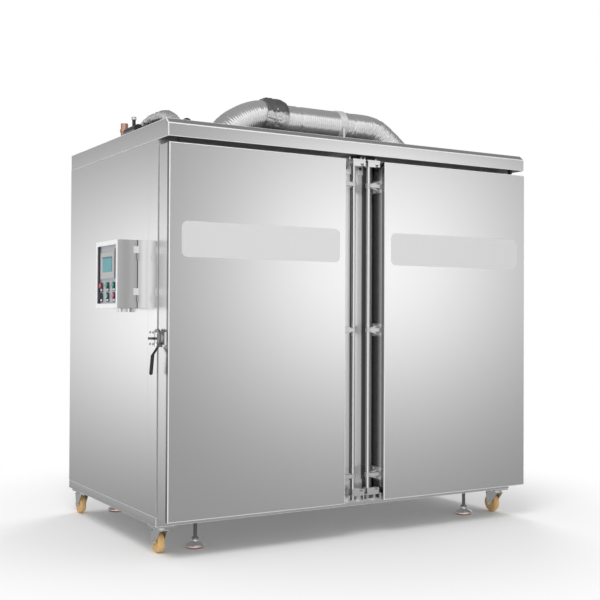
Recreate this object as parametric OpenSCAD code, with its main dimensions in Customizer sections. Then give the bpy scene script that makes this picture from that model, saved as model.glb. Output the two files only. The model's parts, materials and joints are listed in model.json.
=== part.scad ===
// Two-door cryogenic blast chiller cabinet on casters and levelling feet.
// X runs to the right, Y to the back and Z up. The front faces -Y.
// The origin is on the floor, at the middle of the whole machine.

/* [Cabinet] */
// How far the body stands out past the doors on each side
body_over = 3; // [0:1:20]
// Depth of the insulated body behind the doors
body_d = 1270; // [1150:5:1400]
// Gap between the doors' top edges and the roof cap
head_gap = 27; // [14:1:60]
// Height of the base frame
base_h = 45; // [40:1:60]
// Clear height below the base frame
ground_gap = 140; // [136:1:150]
// Thickness of the insulated walls
wall_t = 100; // [80:1:110]
// Thickness of the outer sheet metal
sheet_t = 1.5; // [1:0.1:2.5]
// Thickness of the inner liner
liner_t = 1.5; // [1:0.1:2.5]
// Depth of the front frame that carries the doors
frame_d = 110; // [90:1:130]
// Width of the post between the two doorways
post_w = 370; // [340:2:420]
// Height of the roof cap's upright border
fascia_h = 62; // [55:1:80]
// Height of the roof cap's chamfer
chamfer_h = 26; // [15:1:30]
// Depth of the roof cap's chamfer
chamfer_d = 30; // [20:1:40]
// Distance from the door fronts back to the roof's front edge
roof_set_back = 8; // [4:1:20]
// Wall of the base tray
tray_t = 3; // [2:0.5:5]

/* [Doors] */
// Width across both doors
door_pair_w = 2180; // [1960:2:2380]
// Width of the open recess between the doors
recess_w = 240; // [230:2:280]
// Height of a door
door_h = 1750; // [1600:2:1980]
// Thickness of a door without its gasket
door_t = 118; // [110:1:126]
// How far a door hangs below the side panels
door_drop = 5; // [0:1:10]
// Depth of the rim round a door's front pan
rim_d = 27; // [20:1:40]
// How far a door's inner pan stands in from the front pan
pan_inset = 1; // [0.5:0.1:1.2]
// Thickness of the door gasket
gasket_t = 9.7; // [8:0.1:12]
// Width of the door gasket
gasket_w = 20; // [15:1:26]
// How far the gasket stands in from the door's edge
gasket_inset = 10; // [6:1:20]
// Gap between the gasket and the front frame
gasket_gap = 0.3; // [0.2:0.1:0.5]

/* [Door hinges] */
// Diameter of a hinge rod
rod_d = 20; // [16:1:22]
// Distance between the two hinge rods
rod_pitch = 92; // [88:1:96]
// Distance of the rods behind the door fronts
rod_y = 43; // [40:1:44]
// Height of a rod's foot above the door's bottom edge
rod_foot = 45; // [42:1:50]
// Distance from a rod's head up to the roof cap
rod_head = 34; // [32:1:60]
// Radial clearance of every running fit
fit_gap = 0.05; // [0.03:0.01:0.1]
// Height of the lowest bracket above the door's bottom edge
bracket_low = 132; // [120:1:150]
// Distance from one bracket to the next one up
bracket_pitch = 747; // [700:1:760]
// Height of a bracket's plate on the door edge
bracket_h = 65; // [50:1:80]
// Thickness of a bracket's plate
bracket_t = 3; // [2:0.5:5]
// Diameter of a bracket's clamp hub
hub_d = 28; // [26:1:32]
// Height of a bracket's clamp hub
hub_h = 24; // [18:1:34]
// Height of a bearing block
bearing_h = 28; // [24:1:34]
// Depth of a bearing block
bearing_d = 35; // [32:1:36]
// Width of a bearing block, with its adjusting ear
bearing_w = 76; // [74:1:77]
// Thickness of a carrier's plates
carrier_t = 8; // [5:1:10]
// Height of a carrier's plate on the post
carrier_h = 96; // [80:1:120]

/* [Door latches] */
// Height of the latch's middle above the door's bottom edge
latch_up = 844; // [780:1:900]
// Width of the latch plate on the door's edge
latch_w = 40; // [34:1:46]
// Height of the latch plate
latch_h = 60; // [50:1:70]
// Thickness of the latch plate
latch_t = 6; // [4:1:7]
// Diameter of the latch's pivot pin
latch_pin_d = 10; // [8:1:12]
// Mean radius of the latch's claw
claw_r = 34; // [30:1:36]
// Width of the claw's bar
claw_w = 11; // [8:1:12]
// Thickness of the claw along the door's edge
claw_t = 12; // [9:1:14]
// Diameter of the lever's grip
grip_d = 17; // [14:1:20]
// Length of the lever's grip
grip_l = 86; // [70:1:95]

/* [Control box] */
// Width of the control box along the cabinet's side
box_w = 296; // [280:2:320]
// Height of the control box
box_h = 325; // [310:1:340]
// Depth of its fixed back part
box_back_d = 47; // [40:1:60]
// Depth of its hinged cover
box_cover_d = 102; // [85:1:110]
// Distance from the front frame's back to the near side of the box
box_set_back = 17; // [14:1:40]
// Height of the box above the side panel's lower edge
box_up = 979; // [950:1:1050]
// Thickness of the box's sheet
box_t = 1.5; // [1:0.1:2.5]
// Width of the cover's border round the window
border_w = 22; // [18:1:24]
// Depth of the panel behind the cover's face
panel_recess = 12; // [9:1:14]
// Thickness of the control panel
panel_t = 3; // [2:0.5:4]
// Width of the display's bezel
display_w = 186; // [160:1:200]
// Height of the display's bezel
display_h = 128; // [110:1:134]
// Diameter of a control device's cap
cap_d = 24; // [20:1:26]
// Distance between the columns of devices
device_pitch_y = 87; // [70:1:95]
// Distance between the rows of devices
device_pitch_z = 50; // [44:1:52]
// Travel of a push button
press_travel = 4; // [2:0.5:4.5]

/* [Circulation] */
// Diameter of the fan rotor
fan_d = 210; // [180:2:240]
// Diameter of the inlet ring in the baffle
inlet_d = 200; // [160:2:220]
// Depth of the air plenum behind the baffle
plenum_d = 150; // [140:1:180]
// Diameter of the fan motor
motor_d = 130; // [100:2:150]
// Diameter of the spray pipe
spray_d = 22; // [18:1:28]

/* [Roof] */
// Outer diameter of the main duct
main_d = 150; // [140:1:154]
// Outer diameter of the side duct
side_d = 92; // [80:1:100]
// Distance between two ribs of a duct
rib_pitch = 12.5; // [11:0.5:16]
// Depth of a duct's ribs
rib_depth = 2; // [1:0.1:3]
// Wall of a duct between its ribs
duct_wall = 1.5; // [1:0.1:3]
// Length of the taped sleeve that joins two duct lengths
sleeve_l = 126; // [110:1:150]
// Diameter of the copper inlet stub
stub_d = 38; // [30:1:44]
// Diameter of the relief valve's dome
dome_d = 52; // [40:1:60]

/* [Casters and feet] */
// Diameter of a caster wheel
wheel_d = 100; // [90:1:100]
// Width of a caster wheel
wheel_w = 34; // [28:1:40]
// Height of the wheels above the floor while the feet carry the load
wheel_lift = 1; // [1:0.5:3]
// Distance from a caster's swivel axis back to its axle
trail = 38; // [30:1:42]
// Diameter of a caster's axle
axle_d = 10; // [8:1:12]
// Length of a caster's top plate across the cabinet
plate_l = 100; // [90:1:110]
// Depth of a caster's top plate
plate_w = 85; // [76:1:95]
// Thickness of a caster's top plate
plate_t = 8; // [5:1:9]
// Thickness of a fork leg
fork_t = 4; // [3:0.5:6]
// Distance from the back of the cabinet to the rear swivel axes
rear_axis = 100; // [80:1:140]
// Distance of the levelling feet from the cabinet's sides
foot_in = 250; // [220:5:320]
// Distance of the levelling feet from the cabinet's front and back
foot_deep = 102; // [90:1:140]
// Diameter of a foot's bell
bell_d = 96; // [80:1:110]
// Diameter of a foot's stem
stem_d = 20; // [16:1:24]
// Thickness of a foot's pad
pad_t = 6; // [4:1:8]

/* [Hidden] */
$fn = 64;

// Gap between pieces that are bolted or laid together
seat = 0.2;
// Gap between two pieces of insulation
foam_joint = 0.5;
eps = 0.01;

front_y = door_t + gasket_t + gasket_gap;
inner_y = front_y + frame_d;
back_y = front_y + body_d;
base_z = ground_gap;
panel_z = base_z + base_h;

door_z = panel_z - door_drop;
door_x0 = recess_w / 2;
door_x1 = door_pair_w / 2;
door_w = door_x1 - door_x0;
half_w = door_x1 + body_over;
roof_z = door_z + door_h + head_gap;
roof_top = roof_z + fascia_h + chamfer_h;

// Chamber inside the liner
room_x = half_w - wall_t;
room_back = back_y - wall_t;
room_z0 = panel_z + wall_t;
room_z1 = roof_z - wall_t;

rod_x = rod_pitch / 2;
rod_z0 = door_z + rod_foot;
rod_z1 = roof_z - rod_head;

latch_z = door_z + latch_up;
latch_y = rim_d + 30;
// Pivot of the latch lever
pivot_y = 85.6;
pivot_z = latch_z - 29;
// Middle of the claw's arc
claw_y = pivot_y + 9.4;
claw_z = pivot_z + sqrt(pow(claw_r, 2) - pow(claw_y - pivot_y, 2));
claw_x0 = door_x1 + latch_t + 3;

box_x = -half_w;
box_seam_x = box_x - box_back_d;
box_face_x = box_seam_x - box_cover_d;
box_y0 = inner_y + box_set_back;
box_y1 = box_y0 + box_w;
box_z0 = panel_z + box_up;
box_z1 = box_z0 + box_h;
panel_x = box_face_x + panel_recess;
hinge_y = box_y0 - 6;
device_mid_y = (box_y0 + box_y1) / 2 + 5;
device_z = box_z0 + 60;
display_z = box_z0 + 206;
device_proud = 14;

baffle_y = room_back - plenum_d;
fan_z = (room_z0 + room_z1) / 2;
rotor_y = baffle_y + 12;
rotor_t = 40;
shaft_d = 20;

axle_z = wheel_lift + wheel_d / 2;
swivel_x = half_w - plate_l / 2;
swivel_front = front_y + plate_w / 2 + 7.5;
swivel_rear = back_y - rear_axis;
crown_z = base_z - plate_t - seat - 0.3;
pedal_y = trail + 18;
pedal_z = axle_z + wheel_d / 2 + 7;
pedal_reach = 48;
foot_x = half_w - foot_in;
foot_front = front_y + foot_deep;
foot_rear = back_y - foot_deep;
stem_z = base_z + base_h - 8;

// Line of the main duct, left end of the left duct and height of both
duct_y = 250;
duct_lift = 44;
duct_floor = roof_top + duct_lift + main_d / 2;
left_rise = 55;
left_route = [[32, 0], [100, -25], [30, 0], [200, -30], [25, 0]];
right_fall = 38;
main_start = [723 - door_x1, duct_floor - 20];
main_route = [[520, 0], [132.6, -right_fall], [130, 0]];
sleeve_gap = 15;
left_start = [main_start[0], duct_floor] - [sleeve_gap, 0] - end_of(left_route, [0, 0], left_rise)[0];
side_x = 200 - door_x1;
side_start = [321, roof_top - 45];
side_route = [[100, 0], [188.5, -45], [100, 0], [188.5, -45], [100, 0]];
stub_x = 60 - door_x1;
stub_y = 727;
dome_x = 176 - door_x1;
dome_y = 200;

left_reach = -box_face_x + device_proud - panel_recess;
right_reach = max(half_w, door_x1 + claw_t + latch_t + 24 + grip_d / 2);
back_reach = max(back_y, swivel_rear + pedal_y + pedal_reach);
shift = [(left_reach - right_reach) / 2, -back_reach / 2, 0];

module place() translate(shift) children();

// Box from one corner to the opposite one
module block(low, high) translate(low) cube(high - low);

// Right side as drawn, left side mirrored
module on_side(side) mirror([side < 0 ? 1 : 0, 0, 0]) children();

// Round bar or tube along X, Y or Z from a start point
module bar_x(start, d, l) translate(start) rotate([0, 90, 0]) cylinder(d = d, h = l);
module bar_y(start, d, l) translate(start) rotate([-90, 0, 0]) cylinder(d = d, h = l);
module bar_z(start, d, l) translate(start) cylinder(d = d, h = l);

// Doorways, drawn past both faces of what they go through
module doorways(y0, y1)
    for (side = [-1, 1])
        on_side(side) block([post_w / 2, y0, room_z0], [room_x, y1, room_z1]);

// Place and heading at a length along a route of [length, turn] stretches
function along(route, s, p, a, i = 0) =
    let (l = route[i][0], turn = route[i][1], d = min(s, l), w = turn * d / l,
         r = turn == 0 ? 0 : l * 180 / (PI * turn),
         q = turn == 0 ? p + d * [cos(a), sin(a)]
             : p + r * [sin(a + w) - sin(a), cos(a) - cos(a + w)])
    s <= l || i == len(route) - 1 ? [q, a + w] : along(route, s - l, q, a + turn, i + 1);

function route_length(route) = [for (leg = route) leg[0]] * [for (leg = route) 1];

// One ring of a duct, eight points round its middle line in the plane of the route
duct_sides = 8;
function duct_ring(state, r) =
    [for (k = [0 : duct_sides - 1])
        let (w = 360 * (k + 0.5) / duct_sides, p = state[0], a = state[1])
        [p[0] - r * cos(w) * sin(a), r * sin(w), p[1] + r * cos(w) * cos(a)]];

function joined(lists) = [for (part = lists) each part];

// Triangles between the rings that start at points a and b
function band(a, b, flip) =
    [for (k = [0 : duct_sides - 1])
        let (n = (k + 1) % duct_sides)
        each flip ? [[a + k, b + k, a + n], [a + n, b + k, b + n]]
                  : [[a + k, a + n, b + k], [a + n, b + n, b + k]]];

// Ribbed hose with a bore, from a start point and heading in the XZ plane
module ribbed_hose(route, start, heading, d) {
    l = route_length(route);
    ribs = round(l / rib_pitch);
    crest = d / 2;
    valley = crest - rib_depth;
    bore = valley - duct_wall;
    outer = [for (i = [0 : 2 * ribs])
        duct_ring(along(route, l * i / (2 * ribs), start, heading), i % 2 == 0 ? valley : crest)];
    inner = [for (i = [0 : ribs]) duct_ring(along(route, l * i / ribs, start, heading), bore)];
    n = duct_sides;
    first_in = (2 * ribs + 1) * n;
    last_out = 2 * ribs * n;
    last_in = first_in + ribs * n;
    faces = joined([
        joined([for (i = [0 : 2 * ribs - 1]) band(i * n, (i + 1) * n, false)]),
        joined([for (i = [0 : ribs - 1]) band(first_in + i * n, first_in + (i + 1) * n, true)]),
        band(0, first_in, true),
        band(last_out, last_in, false)
    ]);
    polyhedron(points = joined(concat(outer, inner)), faces = faces, convexity = 20);
}

// Frame of reference at one end of a duct, its Z axis pointing into the duct
module at_end(p, heading) translate([p[0], 0, p[1]]) rotate([0, 90 - heading, 0]) children();

function end_of(route, start, heading) = along(route, route_length(route), start, heading);

main_end = end_of(main_route, main_start, 0);
side_end = end_of(side_route, side_start, 45);

// The plane in which each duct runs
module main_plane() translate([0, duct_y, 0]) children();
module side_plane() translate([side_x, 0, 0]) rotate([0, 0, 90]) children();

// Whatever is drawn once for each of the four duct ends
module at_ports() {
    main_plane() at_end(left_start, left_rise) { $port_d = main_d; children(); }
    main_plane() at_end(main_end[0], main_end[1] + 180) { $port_d = main_d; children(); }
    side_plane() at_end(side_start, 45) { $port_d = side_d; children(); }
    side_plane() at_end(side_end[0], side_end[1] + 180) { $port_d = side_d; children(); }
}

// Outer diameter of the spigot that fills a duct's eight-sided bore
function spigot_d(d) = (d - 2 * rib_depth - 2 * duct_wall) * cos(180 / duct_sides) - 0.6;

// Where the main duct's two ends meet the ceiling
port_left_x = left_start[0] - (left_start[1] - roof_z) / tan(left_rise);
port_right_x = main_end[0][0] + (main_end[0][1] - roof_z) / tan(right_fall);
module ceiling_holes(z0, z1)
    for (x = [port_left_x, port_right_x])
        bar_z([x, duct_y + 40, z0], spigot_d(main_d) - 30, z1 - z0);

module base_frame() place() color("silver") {
    difference() {
        block([-half_w, front_y, base_z], [half_w, back_y, panel_z]);
        difference() {
            block([-half_w + tray_t, front_y + tray_t, base_z + tray_t],
                  [half_w - tray_t, back_y - tray_t, panel_z + 1]);
            for (x = [-half_w / 3, half_w / 3])
                block([x - 20, front_y, base_z], [x + 20, back_y, panel_z]);
            for (x = [-foot_x, foot_x], y = [foot_front, foot_rear])
                bar_z([x, y, base_z], 2 * stem_d, base_h * 0.6);
        }
        for (x = [-foot_x, foot_x], y = [foot_front, foot_rear])
            bar_z([x, y, base_z - 1], stem_d + 2 * fit_gap, base_h);
    }
    for (side = [-1, 1], y = [swivel_front, swivel_rear])
        on_side(side) block([swivel_x - plate_l / 2, y - plate_w / 2, base_z - seat - plate_t],
                            [swivel_x + plate_l / 2, y + plate_w / 2, base_z - seat]);
}

module outer_panels() place() color("lightgray") {
    for (side = [-1, 1])
        on_side(side) block([half_w - sheet_t, inner_y + seat, panel_z], [half_w, back_y, roof_z]);
    block([-half_w + sheet_t + seat, back_y - sheet_t, panel_z],
          [half_w - sheet_t - seat, back_y, roof_z]);
}

module front_frame() place() color("lightgray") {
    difference() {
        union() {
            block([-half_w, front_y, panel_z], [half_w, front_y + sheet_t, roof_z]);
            for (side = [-1, 1])
                on_side(side) block([half_w - sheet_t, front_y, panel_z], [half_w, inner_y, roof_z]);
            for (side = [-1, 1])
                on_side(side) block([post_w / 2 - sheet_t, front_y, room_z0 - sheet_t],
                                    [room_x + sheet_t, inner_y - liner_t - seat, room_z1 + sheet_t]);
        }
        doorways(front_y - 1, inner_y + 1);
    }
}

// The roof cap's outer shape, or its hollow when drawn smaller by a wall
module roof_shape(t)
    hull() {
        block([-half_w + t, roof_set_back + t, roof_z + t], [half_w - t, back_y - t, roof_z + fascia_h]);
        block([-half_w + t, roof_set_back + chamfer_d + t, roof_z + t], [half_w - t, back_y - t, roof_top - t]);
    }

module roof_cap() place() color("gainsboro")
    difference() {
        roof_shape(0);
        roof_shape(sheet_t);
        block([-half_w + 20, front_y + 20, roof_z - 1], [half_w - 20, back_y - 20, roof_z + sheet_t + 1]);
        at_ports() translate([0, 0, -main_d / 2]) cylinder(d = $port_d + 3, h = 200);
        // The left duct bends while it passes the roof
        for (share = [0.4, 0.7, 1]) {
            bend = along(left_route, left_route[0][0] + share * left_route[1][0], left_start, left_rise);
            main_plane() at_end(bend[0], bend[1]) translate([0, 0, -30]) cylinder(d = main_d + 3, h = 60);
        }
        bar_z([stub_x, stub_y, roof_top - 10], stub_d + 0.6, 20);
    }

module inner_liner() place() color("whitesmoke")
    difference() {
        block([-room_x - liner_t, inner_y - liner_t, room_z0 - liner_t],
              [room_x + liner_t, room_back + liner_t, room_z1 + liner_t]);
        block([-room_x, inner_y, room_z0], [room_x, room_back, room_z1]);
        doorways(inner_y - 10, inner_y + 1);
        ceiling_holes(room_z1 - 1, room_z1 + 10);
        bar_z([stub_x + 150, stub_y, room_z1 - 1], spray_d + 0.6, 10);
    }

module insulation() place() color("khaki") {
    skin_x = half_w - sheet_t;
    core_x = room_x + liner_t;
    y0 = front_y + sheet_t;
    y1 = inner_y - liner_t - seat;
    low = room_z0 - sheet_t;
    high = room_z1 + sheet_t;
    j = foam_joint;
    // Sill, header, corner posts and centre post of the front frame
    block([-skin_x, y0, panel_z], [skin_x, y1, low]);
    block([-skin_x, y0, high], [skin_x, y1, roof_z]);
    for (side = [-1, 1])
        on_side(side) block([room_x + sheet_t, y0, low + j], [skin_x, y1, high - j]);
    block([-post_w / 2 + sheet_t, y0, low + j], [post_w / 2 - sheet_t, y1, high - j]);
    // Side walls, rear wall, floor and ceiling
    for (side = [-1, 1])
        on_side(side) block([core_x, inner_y + j, panel_z], [skin_x, back_y - sheet_t, roof_z]);
    block([-core_x + j, room_back + liner_t, panel_z], [core_x - j, back_y - sheet_t, roof_z]);
    block([-core_x + j, inner_y + j, panel_z], [core_x - j, room_back + liner_t - j, room_z0 - liner_t]);
    difference() {
        block([-core_x + j, inner_y + j, room_z1 + liner_t], [core_x - j, room_back + liner_t - j, roof_z]);
        ceiling_holes(room_z1, roof_z + 1);
        bar_z([stub_x + 150, stub_y, room_z1], spray_d + 0.6, wall_t + 1);
    }
}

module fan_baffle() place() color("lightgray")
    difference() {
        union() {
            block([-room_x, baffle_y, room_z0 + 60], [room_x, baffle_y + sheet_t, room_z1 - 120]);
            for (x = [-room_x, room_x - sheet_t])
                block([x, baffle_y, room_z0 + 60], [x + sheet_t, room_back, room_z1 - 120]);
        }
        bar_y([0, baffle_y - 1, fan_z], inlet_d, 5);
        for (x = [-room_x * 0.7, room_x * 0.7], i = [-4 : 4])
            block([x - 90, baffle_y - 1, fan_z + 60 * i - 8], [x + 90, baffle_y + sheet_t + 1, fan_z + 60 * i + 8]);
    }

module fan_motor() place() color("dimgray")
    difference() {
        union() {
            bar_y([0, rotor_y + rotor_t + 12, fan_z], motor_d, room_back - rotor_y - rotor_t - 12);
            bar_y([0, room_back - 12, fan_z], motor_d + 50, 12);
            bar_y([0, rotor_y + 8, fan_z], shaft_d, rotor_t + 10);
        }
        for (w = [45 : 90 : 315])
            translate([0, 0, fan_z])
                rotate([0, w, 0])
                    bar_y([motor_d / 2 + 14, room_back - 13, 0], 9, 14);
    }

module fan_rotor() place() color("gray") {
    blades = 8;
    difference() {
        union() {
            bar_y([0, rotor_y + 4, fan_z], 3 * shaft_d, rotor_t - 4);
            bar_y([0, rotor_y + rotor_t - 4, fan_z], fan_d, 4);
            for (i = [0 : blades - 1])
                translate([0, 0, fan_z])
                    rotate([0, i * 360 / blades, 0])
                        block([shaft_d, rotor_y + 4, -1.5], [fan_d / 2 - 4, rotor_y + rotor_t - 3, 1.5]);
        }
        bar_y([0, rotor_y, fan_z], shaft_d + 2 * fit_gap, rotor_t + 1);
    }
}

module spray_manifold() place() color("peru") {
    drop_x = stub_x + 150;
    bar_h = room_z1 - 60;
    run_z = roof_z + 30;
    reach = room_x - 100;
    bar_z([stub_x, stub_y, run_z - spray_d / 2], stub_d, roof_top + 85 - run_z + spray_d / 2);
    bar_z([stub_x, stub_y, roof_top + 40], stub_d + 8, 14);
    bar_x([stub_x, stub_y, run_z], spray_d, drop_x - stub_x);
    bar_z([drop_x, stub_y, bar_h], spray_d, run_z - bar_h);
    translate([drop_x, stub_y, run_z]) sphere(d = spray_d);
    bar_x([-reach, stub_y, bar_h], spray_d, 2 * reach);
    for (x = [-reach + 60 : (2 * reach - 120) / 8 : reach - 60])
        bar_z([x, stub_y, bar_h - spray_d / 2 - 8], 9, 14);
    for (x = [-reach / 2, reach / 2])
        bar_z([x, stub_y, bar_h], 12, room_z1 - bar_h);
}

// A bearing block with the rod's end in it, its foot at z = 0 and its mouth up
module bearing_block()
    difference() {
        union() {
            block([-14, -bearing_d / 2, 0], [bearing_w - 14, bearing_d / 2, bearing_h / 2]);
            block([-14, -bearing_d / 2, 0], [32, bearing_d / 2, bearing_h]);
            block([bearing_w - 26, -bearing_d / 2, 0], [bearing_w - 14, bearing_d / 2, bearing_h - 2]);
            bar_x([31, 0, bearing_h * 0.72], 8, bearing_w - 50);
            bar_x([bearing_w - 15, 0, bearing_h * 0.72], 13, 7);
        }
        bar_z([0, 0, 7], rod_d + 2 * fit_gap, bearing_h);
    }

// The bolted carrier below a bearing block: a shelf on a plate that passes it by so much
module bearing_carrier(below)
    difference() {
        union() {
            block([-16, front_y - rod_y - seat - carrier_t, -below],
                  [bearing_w - 14, front_y - rod_y - seat, carrier_h / 2 + 12]);
            block([-16, -bearing_d / 2, -carrier_t - seat],
                  [bearing_w - 14, front_y - rod_y - seat - 1, -seat]);
            for (x = [-16, bearing_w - 22])
                block([x, bearing_d / 2, -below], [x + 8, front_y - rod_y - seat - 1, -seat - 1]);
            for (x = [0, bearing_w - 30])
                bar_y([x, front_y - rod_y - seat - carrier_t - 6, carrier_h / 2], 13, 8);
        }
        translate([bearing_w - 32, bearing_d / 2 + 12, -carrier_t - 1]) cylinder(d = 9, h = carrier_t + 2);
    }

module hinge_supports() place() color("silver")
    for (x = [-rod_x, rod_x]) {
        translate([x, rod_y, rod_z0 - 7 - seat]) {
            bearing_block();
            bearing_carrier(carrier_h / 2);
        }
        translate([x, rod_y, rod_z1 + 7 + seat]) mirror([0, 0, 1]) {
            bearing_block();
            bearing_carrier(rod_head - 9);
        }
    }

module latch_strikes() place() color("darkgray")
    for (side = [-1, 1])
        on_side(side) {
            difference() {
                block([half_w, front_y + 27, latch_z - 39], [half_w + 4, front_y + 82, latch_z + 36]);
                for (y = [front_y + 37, front_y + 72], z = [latch_z - 29, latch_z + 26])
                    bar_x([half_w - 1, y, z], 6, 6);
            }
            block([half_w + 4 - eps, front_y + 8, latch_z - 8], [half_w + 18, front_y + 67, latch_z + 3]);
        }

// One knuckle of a cover hinge with its leaf, drawn for a span of heights
module knuckle(z0, z1, leaf_x0, leaf_x1) {
    bar_z([box_seam_x, hinge_y, z0], 11, z1 - z0);
    block([min(leaf_x0, leaf_x1), hinge_y, z0], [max(leaf_x0, leaf_x1), box_y0 + eps, z1]);
}

hinge_heights = [box_z0 + 30, box_z1 - 95];
knuckle_h = 32;

module control_box_base() place() color("silver") {
    t = box_t;
    difference() {
        union() {
            difference() {
                block([box_seam_x + seat, box_y0, box_z0], [box_x - seat, box_y1, box_z1]);
                block([box_seam_x - 1, box_y0 + t, box_z0 + t], [box_x - seat - t, box_y1 - t, box_z1 - t]);
            }
            for (z = hinge_heights)
                knuckle(z, z + knuckle_h, box_seam_x + 1, box_seam_x + 22);
        }
        // Cable entry through the floor of the box
        bar_z([box_seam_x + 24, box_y1 - 60, box_z0 - 1], 25, 5);
    }
    for (z = hinge_heights)
        bar_z([box_seam_x, hinge_y, z + 1], 5, 2 * knuckle_h);
    // Gland in the cable entry
    difference() {
        bar_z([box_seam_x + 24, box_y1 - 60, box_z0 - 18], 34, 18 - seat);
        bar_z([box_seam_x + 24, box_y1 - 60, box_z0 - 19], 14, 20);
    }
}

module control_modules() place() color("dimgray") {
    x1 = box_x - seat - box_t - seat;
    block([x1 - 3, box_y0 + 20, box_z0 + 20], [x1, box_y1 - 20, box_z1 - 20]);
    for (i = [0 : 3])
        block([x1 - 38, box_y0 + 34 + 46 * i, box_z0 + 190], [x1 - 3 - seat, box_y0 + 74 + 46 * i, box_z0 + 285]);
    for (i = [0 : 8])
        block([x1 - 34, box_y0 + 34 + 24 * i, box_z0 + 60], [x1 - 3 - seat, box_y0 + 54 + 24 * i, box_z0 + 140]);
}

// The window through the cover's face, wider by a margin all round
module window(x0, x1, margin)
    block([x0, box_y0 + border_w - margin, box_z0 + border_w - margin],
          [x1, box_y1 - border_w + margin, box_z1 - border_w + margin]);

module control_box_cover() place() color("silver") {
    t = box_t;
    difference() {
        union() {
            difference() {
                block([box_face_x, box_y0, box_z0], [box_seam_x - seat, box_y1, box_z1]);
                block([box_face_x + t, box_y0 + t, box_z0 + t], [box_seam_x + 1, box_y1 - t, box_z1 - t]);
            }
            difference() {
                window(box_face_x, panel_x - seat, t);
                window(box_face_x - 1, panel_x + 1, 0);
            }
            for (z = hinge_heights)
                knuckle(z + knuckle_h + seat, z + 2 * knuckle_h + 1, box_seam_x - 22, box_seam_x - 1);
        }
        window(box_face_x - 1, panel_x, 0);
        for (z = hinge_heights)
            bar_z([box_seam_x, hinge_y, z], 5 + 2 * fit_gap, 2 * knuckle_h + 5);
        bar_y([box_face_x + 51, box_y1 - 5, box_z0 + 66], 16 + 2 * fit_gap, 10);
    }
    // Earthing stud under the near lower corner
    bar_z([box_face_x + 6, box_y0 + 5, box_z0 - 19], 8, 20);
}

// Middles of the six devices: column from the near side, row from the top
function device_at(column, row) =
    [panel_x, device_mid_y + (column - 1) * device_pitch_y, device_z + (1 - row) * device_pitch_z];

module control_panel() place() color("gray") {
    margin = box_t - 0.5;
    stem = cap_d - 3;
    difference() {
        union() {
            window(panel_x, panel_x + panel_t, margin + 14);
            for (column = [0 : 2], row = [0 : 1])
                translate(device_at(column, row)) bar_x([-3, 0, 0], cap_d + 7, 4);
        }
        for (column = [0 : 2], row = [0 : 1])
            translate(device_at(column, row)) {
                bar_x([-1, 0, 0], stem + 2 * fit_gap, 6);
                bar_x([-4, 0, 0], cap_d + 0.6, 4);
            }
        block([panel_x - 1, device_mid_y - display_w / 2 + 20, display_z - display_h / 2 + 20],
              [panel_x + panel_t + 1, device_mid_y + display_w / 2 - 20, display_z + display_h / 2 - 20]);
    }
    // Display unit: bezel in front of the panel and housing behind it
    block([panel_x - 6, device_mid_y - display_w / 2, display_z - display_h / 2],
          [panel_x - seat, device_mid_y + display_w / 2, display_z + display_h / 2]);
    block([panel_x - 1, device_mid_y - display_w / 2 + 21, display_z - display_h / 2 + 21],
          [panel_x + 35, device_mid_y + display_w / 2 - 21, display_z + display_h / 2 - 21]);
}

// Push button: a cap over a stem that slides in the panel
module push_button(column, row, tint) place() color(tint)
    translate(device_at(column, row)) {
        bar_x([-device_proud, 0, 0], cap_d, device_proud - press_travel - 0.5);
        bar_x([-press_travel - 1, 0, 0], cap_d - 3, press_travel + 20);
    }

// Selector: a disc with a finger bar on a stem that turns in the panel
module selector(column, row, tint) place() color(tint)
    translate(device_at(column, row)) {
        bar_x([-7, 0, 0], cap_d, 6.5);
        block([-device_proud, -3, -cap_d / 2 + 1], [-6, 3, cap_d / 2 - 1]);
        bar_x([-1, 0, 0], cap_d - 3, 20);
    }

module stop_button() push_button(2, 0, "red");
module start_button() push_button(1, 0, "green");
module reset_button() push_button(0, 0, "green");
module mode_selector() selector(2, 1, "black");
module fan_selector() selector(1, 1, "palegreen");
module alarm_button() push_button(0, 1, "hotpink");

module cover_lock() place() color("dimgray")
    translate([box_face_x + 51, box_y1, box_z0 + 66]) {
        bar_y([0, -12, 0], 16, 16);
        bar_y([0, 0.3, 0], 22, 4);
        block([-3, 4, -9], [3, 12, 9]);
        block([-6, -12, -6], [6, -8, 26]);
    }

// Spigots inside the duct ends, on flanges that lie on the ceiling
module roof_spigots() place() color("silver")
    difference() {
        intersection() {
            union() {
                at_ports() translate([0, 0, -120]) cylinder(d = spigot_d($port_d), h = 148);
                for (x = [port_left_x, port_right_x])
                    bar_z([x, duct_y, roof_z], main_d + 80, 3);
                for (y = [side_start[0] - side_start[1] + roof_z, side_end[0][0] + side_end[0][1] - roof_z])
                    bar_z([side_x, y, roof_z], side_d + 30, 3);
            }
            block([-half_w, front_y + 21, roof_z], [half_w, back_y, roof_top + 100]);
        }
        at_ports() translate([0, 0, -160]) cylinder(d = spigot_d($port_d) - 6, h = 240);
    }

module main_duct() place() color("silver")
    main_plane() ribbed_hose(main_route, main_start, 0, main_d);

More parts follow.
